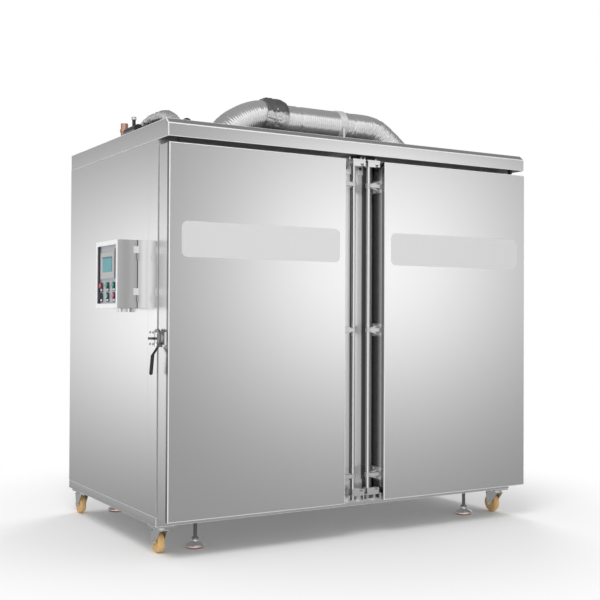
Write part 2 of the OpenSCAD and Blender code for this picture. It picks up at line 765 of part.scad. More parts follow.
// Taped sleeve round the place where the two duct lengths meet
module sleeve() {
    x0 = main_start[0] - sleeve_l + 13;
    x1 = main_start[0] + 13;
    left_end = main_start[0] - sleeve_gap;
    r = main_d / 2 + 0.4;
    difference() {
        hull() {
            bar_x([x0, 0, duct_floor - 6], 2 * r + 16, 1);
            bar_x([x0 + sleeve_l * 0.2, 0, duct_floor + 1], 2 * r + 20, 1);
            bar_x([x0 + sleeve_l * 0.74, 0, duct_floor - 8], 2 * r + 28, 1);
            bar_x([x1 - 1, 0, duct_floor - 16], 2 * r + 17, 1);
        }
        hull() {
            bar_x([x0 - 1, 0, duct_floor - 8.5], 2 * r + 5.5, 1);
            bar_x([x0 + 28, 0, duct_floor - 3], 2 * r + 3, 1);
        }
        hull() {
            bar_x([x0 + 28, 0, duct_floor - 3], 2 * r + 3, 1);
            bar_x([left_end - 25, 0, duct_floor], 2 * r + 1.2, 25 + seat);
        }
        bar_x([left_end, 0, duct_floor - 10], 2 * r - 30, sleeve_gap + 1);
        bar_x([main_start[0] - seat - eps, 0, duct_floor - 20], 2 * r, 60);
    }
}

module left_duct() place() color("silver")
    main_plane() {
        ribbed_hose(left_route, left_start, left_rise, main_d);
        sleeve($fn = 32);
    }

module side_duct() place() color("gainsboro")
    side_plane() ribbed_hose(side_route, side_start, 45, side_d);

module roof_valves() place() color("black") {
    stub_face = stub_y - stub_d / 2 - 0.3;
    body_d = 52;
    body_z = roof_top + 1 + body_d / 2;
    bar_y([stub_x, stub_face - 180, body_z], body_d, 150);
    bar_y([stub_x, stub_face - 35, body_z], 20, 35);
    for (y = [stub_face - 150, stub_face - 60])
        block([stub_x - 12, y - 8, roof_top + seat], [stub_x + 12, y + 8, body_z]);
    bar_z([stub_x, stub_face - 114, body_z], 18, 71);
    bar_z([stub_x, stub_face - 114, body_z + 57], 24, 14);
    bar_z([dome_x, dome_y, roof_top + seat], dome_d, 16);
    translate([dome_x, dome_y, roof_top + 16])
        intersection() {
            sphere(d = dome_d);
            cylinder(d = dome_d, h = dome_d);
        }
}

module door_skin(side) place() color("lightgray")
    on_side(side) difference() {
        block([door_x0, 0, door_z], [door_x1, rim_d, door_z + door_h]);
        block([door_x0 + sheet_t, sheet_t, door_z + sheet_t],
              [door_x1 - sheet_t, rim_d + 1, door_z + door_h - sheet_t]);
    }

module door_liner(side) place() color("gainsboro")
    on_side(side) {
        i = pan_inset;
        t = sheet_t;
        difference() {
            block([door_x0 + i, rim_d, door_z + i], [door_x1 - i, door_t, door_z + door_h - i]);
            block([door_x0 + i + t, rim_d - 1, door_z + i + t],
                  [door_x1 - i - t, door_t - t, door_z + door_h - i - t]);
        }
    }

module door_core(side) place() color("khaki")
    on_side(side) {
        i = pan_inset + sheet_t;
        block([door_x0 + i, sheet_t, door_z + i], [door_x1 - i, door_t - sheet_t, door_z + door_h - i]);
    }

module door_gasket(side) place() color("dimgray")
    on_side(side) {
        i = gasket_inset;
        w = gasket_inset + gasket_w;
        difference() {
            block([door_x0 + i, door_t, door_z + i], [door_x1 - i, door_t + gasket_t, door_z + door_h - i]);
            block([door_x0 + w, door_t - 1, door_z + w],
                  [door_x1 - w, door_t + gasket_t + 1, door_z + door_h - w]);
        }
    }

module hinge_rod(side) place() color("whitesmoke")
    on_side(side) bar_z([rod_x, rod_y, rod_z0], rod_d, rod_z1 - rod_z0);

// One bracket, its middle at height 0: hub on the rod, web, ribs and edge plate
module hinge_bracket() {
    plate_x = door_x0 - bracket_t;
    hub_r = hub_d / 2;
    difference() {
        union() {
            block([plate_x, rod_y - 7, -bracket_h / 2], [door_x0 + pan_inset, rod_y + 66, bracket_h / 2]);
            bar_z([rod_x, rod_y, -hub_h / 2], hub_d, hub_h);
            translate([0, 0, -4]) linear_extrude(8)
                polygon([[rod_x, rod_y - hub_r + 2], [plate_x + 1, rod_y - 6],
                         [plate_x + 1, rod_y + 60], [rod_x, rod_y + hub_r - 2]]);
            for (up = [0, 1])
                mirror([0, 0, up]) translate([0, rod_y + 3, 0]) rotate([90, 0, 0]) linear_extrude(6)
                    polygon([[rod_x + hub_r - 5, 0], [rod_x + hub_r - 5, 10],
                             [plate_x + 1, bracket_h / 2 - 4], [plate_x + 1, bracket_h / 2 - 14]]);
            block([rod_x + 4, rod_y - hub_r - 3, -9], [door_x0 - 0.5, rod_y - hub_r + 1, 9]);
            block([door_x0 - bracket_t, rod_y - hub_r - 3, -9], [door_x0, rod_y, 9]);
            for (z = [-20, 20])
                bar_x([plate_x - 5, rod_y + 17, z], 13, 6);
        }
        bar_z([rod_x, rod_y, -hub_h], rod_d + 2 * fit_gap, 2 * hub_h);
    }
}

module hinge_brackets(side) place() color("dimgray")
    on_side(side)
        for (i = [0 : 2])
            translate([0, 0, door_z + bracket_low + i * bracket_pitch]) hinge_bracket();

module latch_plate(side) place() color("silver")
    on_side(side) {
        edge_x = door_x1 - pan_inset;
        difference() {
            union() {
                block([edge_x, latch_y - latch_w / 2, latch_z - latch_h / 2],
                      [door_x1 + latch_t, latch_y + latch_w / 2, latch_z + latch_h / 2]);
                block([edge_x, latch_y, pivot_z - 11], [door_x1 + latch_t, pivot_y, pivot_z + 11]);
                bar_x([edge_x, pivot_y, pivot_z], 22, door_x1 + latch_t - edge_x);
            }
            for (y = [latch_y - latch_w / 2 + 9, latch_y + latch_w / 2 - 9], z = [latch_z - 20, latch_z + 20])
                if (y < latch_y || z > latch_z)
                    bar_x([edge_x - 1, y, z], 6, latch_t + pan_inset + 2);
        }
        bar_x([door_x1 + latch_t - eps, pivot_y, pivot_z], latch_pin_d, claw_t + 6);
        bar_x([door_x1 + latch_t + claw_t + 4, pivot_y, pivot_z], latch_pin_d + 6, 4);
    }

// Claw, hub and lever with its grip, all turning on the latch's pivot pin
module latch_lever(side) place() color("black")
    on_side(side) {
        start = atan2(pivot_z - claw_z, pivot_y - claw_y);
        bend = [door_x1 + 40, pivot_y + 4.4, pivot_z - 49];
        tip_drop = sqrt(pow(grip_l, 2) - pow(18, 2));
        difference() {
            union() {
                bar_x([claw_x0, pivot_y, pivot_z], 24, claw_t);
                // The claw's arc from the hub round the front to its upper tip
                translate([claw_x0, claw_y, claw_z]) rotate([90, 0, 90])
                    linear_extrude(claw_t)
                        polygon(concat(
                            [for (w = [start + 360 : -10 : 56])
                                (claw_r + claw_w / 2) * [cos(w), sin(w)]],
                            [for (w = [56 : 10 : start + 360])
                                (claw_r - claw_w / 2) * [cos(w), sin(w)]]));
                hull() {
                    translate([claw_x0 + claw_t / 2, pivot_y + 1, pivot_z - 10]) sphere(d = 11, $fn = 24);
                    translate(bend) sphere(d = 12, $fn = 24);
                }
            }
            bar_x([claw_x0 - 1, pivot_y, pivot_z], latch_pin_d + 2 * fit_gap, claw_t + 2);
        }
        translate(bend)
            rotate([180 - atan2(-18, tip_drop), 0, 0]) {
                cylinder(d = grip_d, h = grip_l);
                translate([0, 0, grip_l]) sphere(d = grip_d);
            }
    }

// Swivel head, crown, legs and axle of one caster, its swivel axis at x = y = 0
module caster_fork(x, y) place() color("silver") translate([x, y, 0]) {
    in_x = wheel_w / 2 + 3;
    crown_low = crown_z - 14;
    difference() {
        union() {
            bar_z([0, 0, crown_low], 56, 14);
            for (side = [-1, 1])
                on_side(side) {
                    translate([in_x, 0, 0]) rotate([90, 0, 90]) linear_extrude(fork_t)
                        polygon([[-27, crown_low + 2], [-27, crown_low - 4], [trail - 15, axle_z - 3],
                                 [trail - 6, axle_z - 13], [trail + 7, axle_z - 13],
                                 [trail + 15, axle_z - 2], [pedal_y + 9, pedal_z - 6],
                                 [pedal_y + 5, pedal_z + 8], [26, crown_low + 2]]);
                }
            block([-in_x - fork_t, -27, crown_low - 4], [in_x + fork_t, 26, crown_low + 2]);
        }
        bar_x([-in_x - 10, pedal_y, pedal_z], 6 + 2 * fit_gap, 2 * in_x + 20);
    }
    bar_x([-in_x - fork_t - 5, trail, axle_z], axle_d, 2 * (in_x + fork_t + 5));
    for (side = [-1, 1])
        on_side(side) bar_x([in_x + fork_t, trail, axle_z], axle_d + 7, 5);
}

module caster_wheel(x, y) place() color("wheat")
    translate([x, y + trail, axle_z]) rotate([0, 90, 0])
        rotate_extrude() {
            r = wheel_d / 2;
            h = wheel_w / 2;
            bore = axle_d / 2 + fit_gap;
            polygon([[bore, -h - 1], [14, -h - 1], [16, -h + 5], [r - 14, -h + 5], [r - 10, -h],
                     [r - 4, -h + 2], [r, -h + 9], [r, h - 9], [r - 4, h - 2], [r - 10, h],
                     [r - 14, h - 5], [16, h - 5], [14, h + 1], [bore, h + 1]]);
        }

module caster_pedal(x, y) place() color("black") translate([x, y, 0]) {
    in_x = wheel_w / 2 + 3;
    bar_x([-in_x - fork_t - 2, pedal_y, pedal_z], 6, 2 * (in_x + fork_t + 2));
    bar_x([-in_x + 1, pedal_y, pedal_z], 9, 2 * in_x - 2);
    rotate([90, 0, 90]) translate([0, 0, -12]) linear_extrude(24)
        polygon([[pedal_y, pedal_z - 2], [pedal_y + pedal_reach - 4, pedal_z + 9],
                 [pedal_y + pedal_reach, pedal_z + 14], [pedal_y + pedal_reach - 12, pedal_z + 15],
                 [pedal_y, pedal_z + 3]]);
}

module levelling_foot(x, y) place() color("lightgray") translate([x, y, 0]) {
    r = bell_d / 2;
    cylinder(r = r - 4, h = pad_t);
    rotate_extrude()
        polygon([[0, pad_t - eps], [r - 2, pad_t - eps], [r, pad_t + 3], [r, pad_t + 7],
                 [r - 5, pad_t + 12], [r * 0.62, pad_t + 20], [17, pad_t + 27], [17, pad_t + 44],
                 [stem_d / 2, pad_t + 48], [stem_d / 2, stem_z], [0, stem_z]]);
}

module left_door_skin() door_skin(-1);
module left_door_liner() door_liner(-1);
module left_door_core() door_core(-1);
module left_door_gasket() door_gasket(-1);
module left_hinge_rod() hinge_rod(-1);
module left_hinge_brackets() hinge_brackets(-1);
module left_latch_plate() latch_plate(-1);
module left_latch_lever() latch_lever(-1);
module right_door_skin() door_skin(1);
module right_door_liner() door_liner(1);
module right_door_core() door_core(1);
module right_door_gasket() door_gasket(1);
module right_hinge_rod() hinge_rod(1);
module right_hinge_brackets() hinge_brackets(1);
module right_latch_plate() latch_plate(1);
module right_latch_lever() latch_lever(1);

module front_left_fork() caster_fork(-swivel_x, swivel_front);
module front_right_fork() caster_fork(swivel_x, swivel_front);
module rear_left_fork() caster_fork(-swivel_x, swivel_rear);
module rear_right_fork() caster_fork(swivel_x, swivel_rear);
module front_left_wheel() caster_wheel(-swivel_x, swivel_front);
module front_right_wheel() caster_wheel(swivel_x, swivel_front);
module rear_left_wheel() caster_wheel(-swivel_x, swivel_rear);
module rear_right_wheel() caster_wheel(swivel_x, swivel_rear);
module front_left_pedal() caster_pedal(-swivel_x, swivel_front);
module front_right_pedal() caster_pedal(swivel_x, swivel_front);
module rear_left_pedal() caster_pedal(-swivel_x, swivel_rear);
module rear_right_pedal() caster_pedal(swivel_x, swivel_rear);
module front_left_foot() levelling_foot(-foot_x, foot_front);
module front_right_foot() levelling_foot(foot_x, foot_front);
module rear_left_foot() levelling_foot(-foot_x, foot_rear);
module rear_right_foot() levelling_foot(foot_x, foot_rear);

base_frame();
outer_panels();
front_frame();
roof_cap();
inner_liner();
insulation();
fan_baffle();
fan_motor();
fan_rotor();
spray_manifold();
hinge_supports();
latch_strikes();
control_box_base();
control_modules();
control_box_cover();
control_panel();
cover_lock();
stop_button();
start_button();
reset_button();
mode_selector();
fan_selector();
alarm_button();
roof_spigots();
main_duct();
left_duct();
side_duct();
roof_valves();
left_door_skin();
left_door_liner();
left_door_core();
left_door_gasket();
left_hinge_rod();
left_hinge_brackets();
left_latch_plate();
left_latch_lever();
right_door_skin();
right_door_liner();
right_door_core();
right_door_gasket();
right_hinge_rod();
right_hinge_brackets();
right_latch_plate();
right_latch_lever();
front_left_fork();
front_right_fork();
rear_left_fork();
rear_right_fork();
front_left_wheel();
front_right_wheel();
rear_left_wheel();
rear_right_wheel();
front_left_pedal();
front_right_pedal();
rear_left_pedal();
rear_right_pedal();
front_left_foot();
front_right_foot();
rear_left_foot();
rear_right_foot();
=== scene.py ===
"""Looks of a two-door cryogenic blast chiller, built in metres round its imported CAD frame."""
import json
import math

import bmesh
import bpy
from bpy.props import FloatProperty, FloatVectorProperty, IntProperty, PointerProperty
from mathutils import Matrix, Vector, noise

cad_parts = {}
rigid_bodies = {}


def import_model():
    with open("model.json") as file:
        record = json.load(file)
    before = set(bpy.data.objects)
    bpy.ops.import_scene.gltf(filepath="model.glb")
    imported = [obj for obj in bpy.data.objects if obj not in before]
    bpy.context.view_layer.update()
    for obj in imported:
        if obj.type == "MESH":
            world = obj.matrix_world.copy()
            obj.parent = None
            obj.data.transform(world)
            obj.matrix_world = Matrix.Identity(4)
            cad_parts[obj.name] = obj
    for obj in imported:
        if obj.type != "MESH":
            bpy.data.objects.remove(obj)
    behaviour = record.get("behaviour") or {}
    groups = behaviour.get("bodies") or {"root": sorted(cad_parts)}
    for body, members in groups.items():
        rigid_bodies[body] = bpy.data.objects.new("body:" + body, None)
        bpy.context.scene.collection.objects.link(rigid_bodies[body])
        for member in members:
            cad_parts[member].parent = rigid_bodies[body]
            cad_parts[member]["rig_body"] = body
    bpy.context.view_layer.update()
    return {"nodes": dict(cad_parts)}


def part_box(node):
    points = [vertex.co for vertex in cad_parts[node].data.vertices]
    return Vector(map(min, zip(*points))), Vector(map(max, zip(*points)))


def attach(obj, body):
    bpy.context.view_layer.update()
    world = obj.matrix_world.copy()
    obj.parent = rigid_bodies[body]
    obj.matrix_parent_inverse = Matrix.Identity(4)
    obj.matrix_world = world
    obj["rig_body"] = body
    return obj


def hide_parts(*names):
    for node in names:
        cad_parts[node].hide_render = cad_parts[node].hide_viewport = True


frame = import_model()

bl_info = {
    "name": "Blast chiller",
    "version": (1, 0, 0),
    "blender": (4, 5, 0),
    "location": "View3D > Sidebar > Chiller",
    "description": "Dresses the chiller's CAD frame with steel, foil, casters and controls",
    "category": "Object",
}

X, Y, Z = Vector((1, 0, 0)), Vector((0, 1, 0)), Vector((0, 0, 1))
CORNERS = ("front_left", "front_right", "rear_left", "rear_right")
# How near points are welded, and the angles under which faces join and over which edges round
WELD = 2e-6
FLAT_ANGLE, SHARP_ANGLE = math.radians(0.8), math.radians(32)
# Rounding of edges: thin sheet, small parts, levers and forks, folded panels, and thick parts
SHEET_ROUND, SMALL_ROUND, LEVER_ROUND, PANEL_ROUND, THICK_ROUND = 0.0006, 0.0008, 0.001, 0.0012, 0.0015


def colour_property(name, description, default):
    return FloatVectorProperty(
        name=name, description=description, subtype="COLOR", size=3, min=0, max=1, default=default
    )


def length_property(name, description, default, low=0.0, high=10.0):
    return FloatProperty(
        name=name, description=description, unit="LENGTH", min=low, max=high, default=default
    )


class ChillerColours(bpy.types.PropertyGroup):
    """Colours of the chiller's finishes, as linear values."""

    steel: colour_property("Steel", "Brushed steel of the panels and doors", (0.80, 0.80, 0.80))
    # The next colour is a painted highlight on the rounded folds of the sheets
    edge: colour_property("Edges", "Polished folded edges of the sheets", (0.88, 0.88, 0.88))
    # The next colour is painted shade for the roof's underside
    dull: colour_property("Underside", "Dull steel of the roof's underside", (0.22, 0.22, 0.22))
    # The next colour is painted shade on the rims round the door pans
    rim: colour_property("Rim", "Folded rims round the door pans", (0.26, 0.26, 0.26))
    inner_steel: colour_property("Inner steel", "Steel of liners and inner pans", (0.82, 0.82, 0.82))
    bright_steel: colour_property("Bright steel", "Polished rods, bells and bolts", (0.90, 0.90, 0.90))
    zinc: colour_property("Zinc", "Zinc-plated forks and spigots", (0.80, 0.81, 0.82))
    cast: colour_property("Casting", "Cast brackets and bearing blocks", (0.74, 0.74, 0.74))
    dark_bolt: colour_property("Dark bolts", "Blackened bolts and screws", (0.10, 0.10, 0.10))
    paint: colour_property("Paint", "White front of the control box", (0.93, 0.93, 0.93))
    black: colour_property("Black", "Black plastic and lacquer", (0.012, 0.012, 0.013))
    rubber: colour_property("Rubber", "Door gaskets", (0.20, 0.20, 0.20))
    foam: colour_property("Foam", "Insulating foam", (0.78, 0.70, 0.46))
    copper: colour_property("Copper", "Copper pipe", (0.83, 0.42, 0.28))
    foil: colour_property("Foil", "Aluminium foil of the ducts", (0.95, 0.95, 0.95))
    tape: colour_property("Tape", "Crumpled foil tape", (0.90, 0.90, 0.90))
    tread: colour_property("Tread", "Cream wheels", (0.80, 0.52, 0.21))
    pad: colour_property("Pad", "Pads under the feet", (0.60, 0.13, 0.06))
    panel: colour_property("Control panel", "Grey control panel", (0.43, 0.43, 0.43))
    bezel: colour_property("Bezel", "Display bezel", (0.49, 0.49, 0.49))
    screen: colour_property("Screen", "Display screen", (0.165, 0.40, 0.44))
    claw: colour_property("Claw", "Grey claws of the latch levers", (0.30, 0.30, 0.30))
    stem: colour_property("Stem", "Dark zinc of the feet's stems", (0.36, 0.36, 0.36))
    module: colour_property("Modules", "Devices inside the control box", (0.20, 0.22, 0.24))
    motor: colour_property("Motor", "Lacquer of the fan motor", (0.04, 0.05, 0.06))
    # The next colour is painted shade, laid on thin strips at the screen's top and side
    screen_rim: colour_property("Screen rim", "Shaded rim at the screen's top and side", (0.07, 0.20, 0.26))
    red: colour_property("Red", "Stop button", (0.72, 0.09, 0.08))
    green: colour_property("Green", "Start and reset buttons", (0.02, 0.36, 0.26))
    pale_green: colour_property("Pale green", "Fan selector", (0.35, 0.66, 0.50))
    pink: colour_property("Pink", "Alarm button", (0.70, 0.16, 0.34))
    plate: colour_property("Plate", "Bare nameplates and labels", (0.86, 0.86, 0.86))


class ChillerSizes(bpy.types.PropertyGroup):
    """Sizes of what is modelled on top of the frame."""

    sheet_edge: length_property("Sheet edge", "Rounding of sheet edges", 0.0006, 0.0002, 0.001)
    pan_edge: length_property("Pan edge", "Rounding of the door pans' front edges", 0.004, 0.001, 0.006)
    roof_edge: length_property("Roof edge", "Rounding of the roof cap's edges", 0.0036, 0.001, 0.006)
    rim_slant: length_property("Rim slant", "How far a pan's rim leans in at its back", 0.0008, 0, 0.0009)
    plate_left: length_property("Left plate", "Width of the left door's nameplate", 0.870, 0.3, 0.9)
    plate_right: length_property("Right plate", "Width of the right door's nameplate", 0.872, 0.3, 0.9)
    plate_height: length_property("Plate height", "Height of the nameplates", 0.168, 0.1, 0.3)
    plate_proud: length_property("Plate thickness", "Thickness of the nameplates", 0.0006, 0.0004, 0.003)
    rib_pitch: length_property("Rib pitch", "Distance between the ducts' ribs", 0.0125, 0.006, 0.02)
    rib_depth: length_property("Rib depth", "Depth of the ducts' ribs", 0.0012, 0.0005, 0.004)
    band_width: length_property("Band width", "Width of the clamp band on the main duct", 0.042, 0.02, 0.06)
    lens: FloatProperty(
        name="Lens", description="Camera lens on a 36 mm frame", min=20, max=120, default=61.3
    )
    duct_sides: IntProperty(name="Duct sides", description="Facets round a duct", min=12, max=96, default=48)


def colours():
    return bpy.context.scene.chiller_colours


def sizes():
    return bpy.context.scene.chiller_sizes


# Materials

def shader_node(tree, kind, inputs=(), **settings):
    """New shader node with its settings. Each input takes a value, or another node's output."""
    made = tree.nodes.new("ShaderNode" + kind)
    for name, value in settings.items():
        setattr(made, name, value)
    for socket, value in dict(inputs).items():
        if isinstance(value, bpy.types.NodeSocket):
            tree.links.new(value, made.inputs[socket])
        else:
            made.inputs[socket].default_value = value
    return made


def shaded(tree, colour, source, axis, low, high, stops):
    """Colour multiplied by grey stops over a range of the surface's place or normal, painting light and
    shade into it.
    """
    split = shader_node(tree, "SeparateXYZ", {"Vector": source})
    span = shader_node(tree, "MapRange", {"From Min": low, "From Max": high, "Value": split.outputs[axis]})
    ramp = shader_node(tree, "ValToRGB", {"Fac": span.outputs["Result"]})
    while len(ramp.color_ramp.elements) < len(stops):
        ramp.color_ramp.elements.new(0.5)
    for stop, (place, grey) in zip(ramp.color_ramp.elements, stops):
        stop.position = place
        stop.color = (grey, grey, grey, 1)
    times = shader_node(tree, "Mix", {"Factor": 1.0, "A": colour, "B": ramp.outputs["Color"]},
                        data_type="RGBA", blend_type="MULTIPLY")
    return times.outputs["Result"]


def finish(name, colour, metallic=0.0, roughness=0.5, grain=(60, 60, 60), tone=0.06, gloss=0.05,
           depth=0.0, detail=3.0, slope=None, across=None, **sockets):
    """Material whose colour, gloss and surface vary with one stretched noise grain.

    slope holds grey stops of painted light and shade by the surface's slope, from facing down to facing up.
    across holds an axis, a lowest and a highest place on it and such grey stops between them.
    """
    if name in bpy.data.materials:
        return bpy.data.materials[name]
    made = bpy.data.materials.new(name)
    made.use_nodes = True
    tree = made.node_tree
    shader = tree.nodes["Principled BSDF"]
    shader.inputs["Metallic"].default_value = metallic
    for socket, value in sockets.items():
        shader.inputs[socket.replace("_", " ")].default_value = value
    place = shader_node(tree, "TexCoord").outputs["Object"]
    stretch = shader_node(tree, "Mapping", {"Vector": place, "Scale": grain})
    fine = shader_node(tree, "TexNoise", {"Vector": stretch.outputs["Vector"], "Scale": 1.0,
                                          "Detail": detail}).outputs["Fac"]
    dark = (*(part * (1 - tone) for part in colour), 1)
    light = (*(min(1.0, part * (1 + tone)) for part in colour), 1)
    shade = shader_node(tree, "Mix", {"A": dark, "B": light, "Factor": fine},
                        data_type="RGBA").outputs["Result"]
    if slope:
        normal = shader_node(tree, "NewGeometry").outputs["Normal"]
        shade = shaded(tree, shade, normal, "Z", -1, 1, slope)
    if across:
        shade = shaded(tree, shade, place, *across)
    tree.links.new(shade, shader.inputs["Base Color"])
    spread = shader_node(tree, "MapRange", {"To Min": max(0.02, roughness - gloss),
                                            "To Max": min(1.0, roughness + gloss), "Value": fine})
    tree.links.new(spread.outputs["Result"], shader.inputs["Roughness"])
    if depth:
        bump = shader_node(tree, "Bump", {"Distance": depth, "Strength": 1.0, "Height": fine})
        tree.links.new(bump.outputs["Normal"], shader.inputs["Normal"])
    return made


# Painted light and shade across a piece: the axis, the lowest and the highest place on it, and grey stops
# between
POST_SHADE = ("X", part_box("left_door_skin")[1].x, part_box("right_door_skin")[0].x, (
    (0.0, 0.8), (0.30, 0.9), (0.44, 0.9), (0.46, 0.10), (0.50, 0.10), (0.52, 1.0), (0.565, 1.0),
    (0.575, 0.3), (0.592, 0.3), (0.60, 1.0), (0.74, 0.95), (0.775, 0.10), (0.86, 0.10), (0.90, 0.5),
    (0.96, 0.3), (1.0, 0.8),
))
PAN_SHADE = ("Y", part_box("left_door_skin")[1].y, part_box("left_door_liner")[1].y, (
    (0.0, 0.85), (0.45, 0.40), (0.8, 0.07), (1.0, 0.05),
))
COVER_SHADE = ("X", -1.190, -1.060, ((0.0, 1.0), (0.35, 0.85), (0.77, 0.50), (0.81, 0.72), (1.0, 1.0)))


def brushed_steel():
    return finish("brushed_steel", colours().steel, 1.0, 0.22, (420, 420, 5), 0.010, 0.015, 0.0000012)


# Painted shade: a dark copy of the steel for surfaces that face down
def dull_steel():
    return finish("dull_steel", colours().dull, 0.9, 0.42, (30, 420, 420), 0.03, 0.03, 0.000002)


def post_steel():
    """Steel between the hinge rods, with painted shadows of the rods and painted light between them."""
    return finish("post_steel", (1.0, 1.0, 1.0), 0.55, 0.24, (420, 420, 5), 0.01, 0.015, 0.0000012,
                  across=POST_SHADE)


def pan_side():
    """Side of an inner pan beside the hinges, with painted shade that darkens towards its deep end."""
    return finish("pan_side", colours().inner_steel, 1.0, 0.26, (8, 8, 420), 0.015, 0.02, 0.0000015,
                  across=PAN_SHADE)


def cover_steel():
    """Side of the control box, with painted light towards its front and painted shade darkest at the seam.
    """
    return finish("cover_steel", (1.0, 1.0, 1.0), 1.0, 0.22, (420, 420, 5), 0.01, 0.015, 0.0000012,
                  across=COVER_SHADE)


# Painted highlight: a pale, half-metallic finish on rounded edges that makes them read as bright lines
def polished_edge():
    return finish("polished_edge", colours().edge, 0.25, 0.45, (300, 300, 300), 0.01, 0.04, 0.000002)


# Painted shade: a dark copy of the steel for the door pans' rims
def rim_steel():
    return finish("rim_steel", colours().rim, 1.0, 0.24, (8, 8, 420), 0.02, 0.02, 0.000002)


def inner_steel():
    return finish("inner_steel", colours().inner_steel, 1.0, 0.26, (8, 8, 420), 0.015, 0.02, 0.0000015)


def bright_steel():
    return finish("bright_steel", colours().bright_steel, 1.0, 0.14, (300, 300, 300), 0.02, 0.03, 0.000002)


def zinc_plate():
    return finish("zinc_plate", colours().zinc, 1.0, 0.36, (90, 90, 90), 0.12, 0.08, 0.00005)


def casting():
    return finish("casting", colours().cast, 0.9, 0.30, (240, 240, 240), 0.10, 0.06, 0.00003)


def dark_bolt():
    return finish("dark_bolt", colours().dark_bolt, 0.8, 0.36, (400, 400, 400), 0.2, 0.08, 0.00004)


def white_paint():
    return finish("white_paint", colours().paint, 0.0, 0.35, (500, 500, 500), 0.01, 0.04, 0.00001)


def black_plastic():
    return finish("black_plastic", colours().black, 0.0, 0.34, (500, 500, 500), 0.3, 0.06, 0.00003)


def black_lacquer():
    return finish("black_lacquer", colours().black, 0.0, 0.25, (200, 200, 200), 0.3, 0.05, 0.00002,
                  Coat_Weight=0.4, Coat_Roughness=0.12)


def seal_rubber():
    return finish("seal_rubber", colours().rubber, 0.0, 0.62, (120, 120, 120), 0.12, 0.06, 0.00004)


def seal_black():
    return finish("seal_black", colours().black, 0.0, 0.7, (300, 300, 300), 0.2, 0.05, 0.00003)


def foam():
    return finish("foam", colours().foam, 0.0, 0.9, (160, 160, 160), 0.12, 0.05, 0.0004)


def copper():
    return finish("copper", colours().copper, 1.0, 0.32, (70, 70, 18), 0.16, 0.08, 0.00003)


def duct_foil():
    """Foil with a painted highlight band along its lower flank and painted shade above and below."""
    return finish("duct_foil", colours().foil, 0.45, 0.30, (55, 55, 55), 0.05, 0.06, 0.0010, 4.0,
                  slope=((0.0, 0.25), (0.22, 0.38), (0.29, 1.0), (0.60, 1.0), (0.69, 0.38), (1.0, 0.42)))


def side_foil():
    """Crumpled foil with painted shade where it faces down and, lighter, on top, and a painted highlight
    where it faces sideways and up.
    """
    return finish("side_foil", colours().foil, 0.55, 0.28, (42, 42, 42), 0.30, 0.08, 0.009, 5.0,
                  slope=((0.0, 0.08), (0.44, 0.16), (0.52, 0.9), (0.74, 1.0), (0.90, 0.45), (1.0, 0.42)))


# Painted light and shade: the clamp band is lightest on its flanks and darker where it faces down and up
def band_steel():
    return finish("band_steel", colours().foil, 0.4, 0.35, (200, 200, 200), 0.02, 0.04, 0.00001,
                  slope=((0.0, 0.5), (0.3, 0.85), (0.7, 0.8), (1.0, 0.6)))


# Painted light and shade: the tape has a painted highlight band on its lower flank and painted shade on top
# and underneath
def foil_tape():
    return finish("foil_tape", colours().tape, 0.5, 0.30, (75, 75, 75), 0.30, 0.10, 0.005, 5.0,
                  slope=((0.0, 0.2), (0.22, 0.4), (0.29, 1.0), (0.45, 0.95), (0.56, 0.16), (1.0, 0.13)))


def cream_tread():
    return finish("cream_tread", colours().tread, 0.0, 0.36, (45, 45, 45), 0.10, 0.08, 0.00006,
                  Subsurface_Weight=0.15, Subsurface_Scale=0.01, Coat_Weight=0.25, Coat_Roughness=0.2)


def foot_pad():
    return finish("foot_pad", colours().pad, 0.0, 0.6, (150, 150, 150), 0.15, 0.08, 0.0001)


def panel_grey():
    return finish("panel_grey", colours().panel, 0.2, 0.42, (350, 350, 350), 0.05, 0.05, 0.00003)


def bezel_grey():
    return finish("bezel_grey", colours().bezel, 0.0, 0.40, (420, 420, 420), 0.04, 0.04, 0.00002)


def bare_plate():
    return finish("bare_plate", colours().plate, 0.55, 0.36, (700, 700, 20), 0.02, 0.03, 0.000004)


def white_label():
    return finish("white_label", colours().plate, 0.0, 0.45, (300, 300, 300), 0.03, 0.05, 0.00001)


def button_plastic(name):
    return finish("cap_" + name, getattr(colours(), name), 0.0, 0.28, (260, 260, 260), 0.08, 0.06, 0.00002,
                  Coat_Weight=0.3, Coat_Roughness=0.15)


def claw_grey():
    return finish("claw_grey", colours().claw, 0.9, 0.3, tone=0.15)


def dark_zinc():
    return finish("dark_zinc", colours().stem, 0.9, 0.4, depth=0.00005)


def module_grey():
    return finish("module_grey", colours().module, 0.0, 0.5)


def motor_grey():
    return finish("motor_grey", colours().motor, 0.3, 0.45, depth=0.0001)


# Painted shade: a darker copy of the screen's colour for strips at its top and side
def screen_rim():
    return finish("screen_rim", colours().screen_rim, 0.0, 0.4, tone=0.1)


def display_screen():
    """Glass screen with a faint mottle."""
    return finish("display_screen", colours().screen, 0.0, 0.45, (60, 60, 60), 0.12, 0.05,
                  Specular_IOR_Level=0.3)


# Mesh building

def linked(name, data):
    """Object of a name, in the scene."""
    made = bpy.data.objects.new(name, data)
    bpy.context.scene.collection.objects.link(made)
    return made


def piece(name, form, material, body, replaces=(), smooth=30, weighted=True):
    """Object from a bmesh: smooth but for its sharp edges, riding on a body, with its finish."""
    bmesh.ops.recalc_face_normals(form, faces=form.faces)
    mesh = bpy.data.meshes.new(name)
    form.to_mesh(mesh)
    form.free()
    mesh.polygons.foreach_set("use_smooth", [True] * len(mesh.polygons))
    mesh.set_sharp_from_angle(angle=math.radians(smooth))
    mesh.materials.append(material)
    made = linked(name, mesh)
    if weighted:
        made.modifiers.new("even_normals", "WEIGHTED_NORMAL").keep_sharp = True
    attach(made, body)
    if replaces:
        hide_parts(*replaces)
    return made


def body_of(node):
    return frame["nodes"][node]["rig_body"]


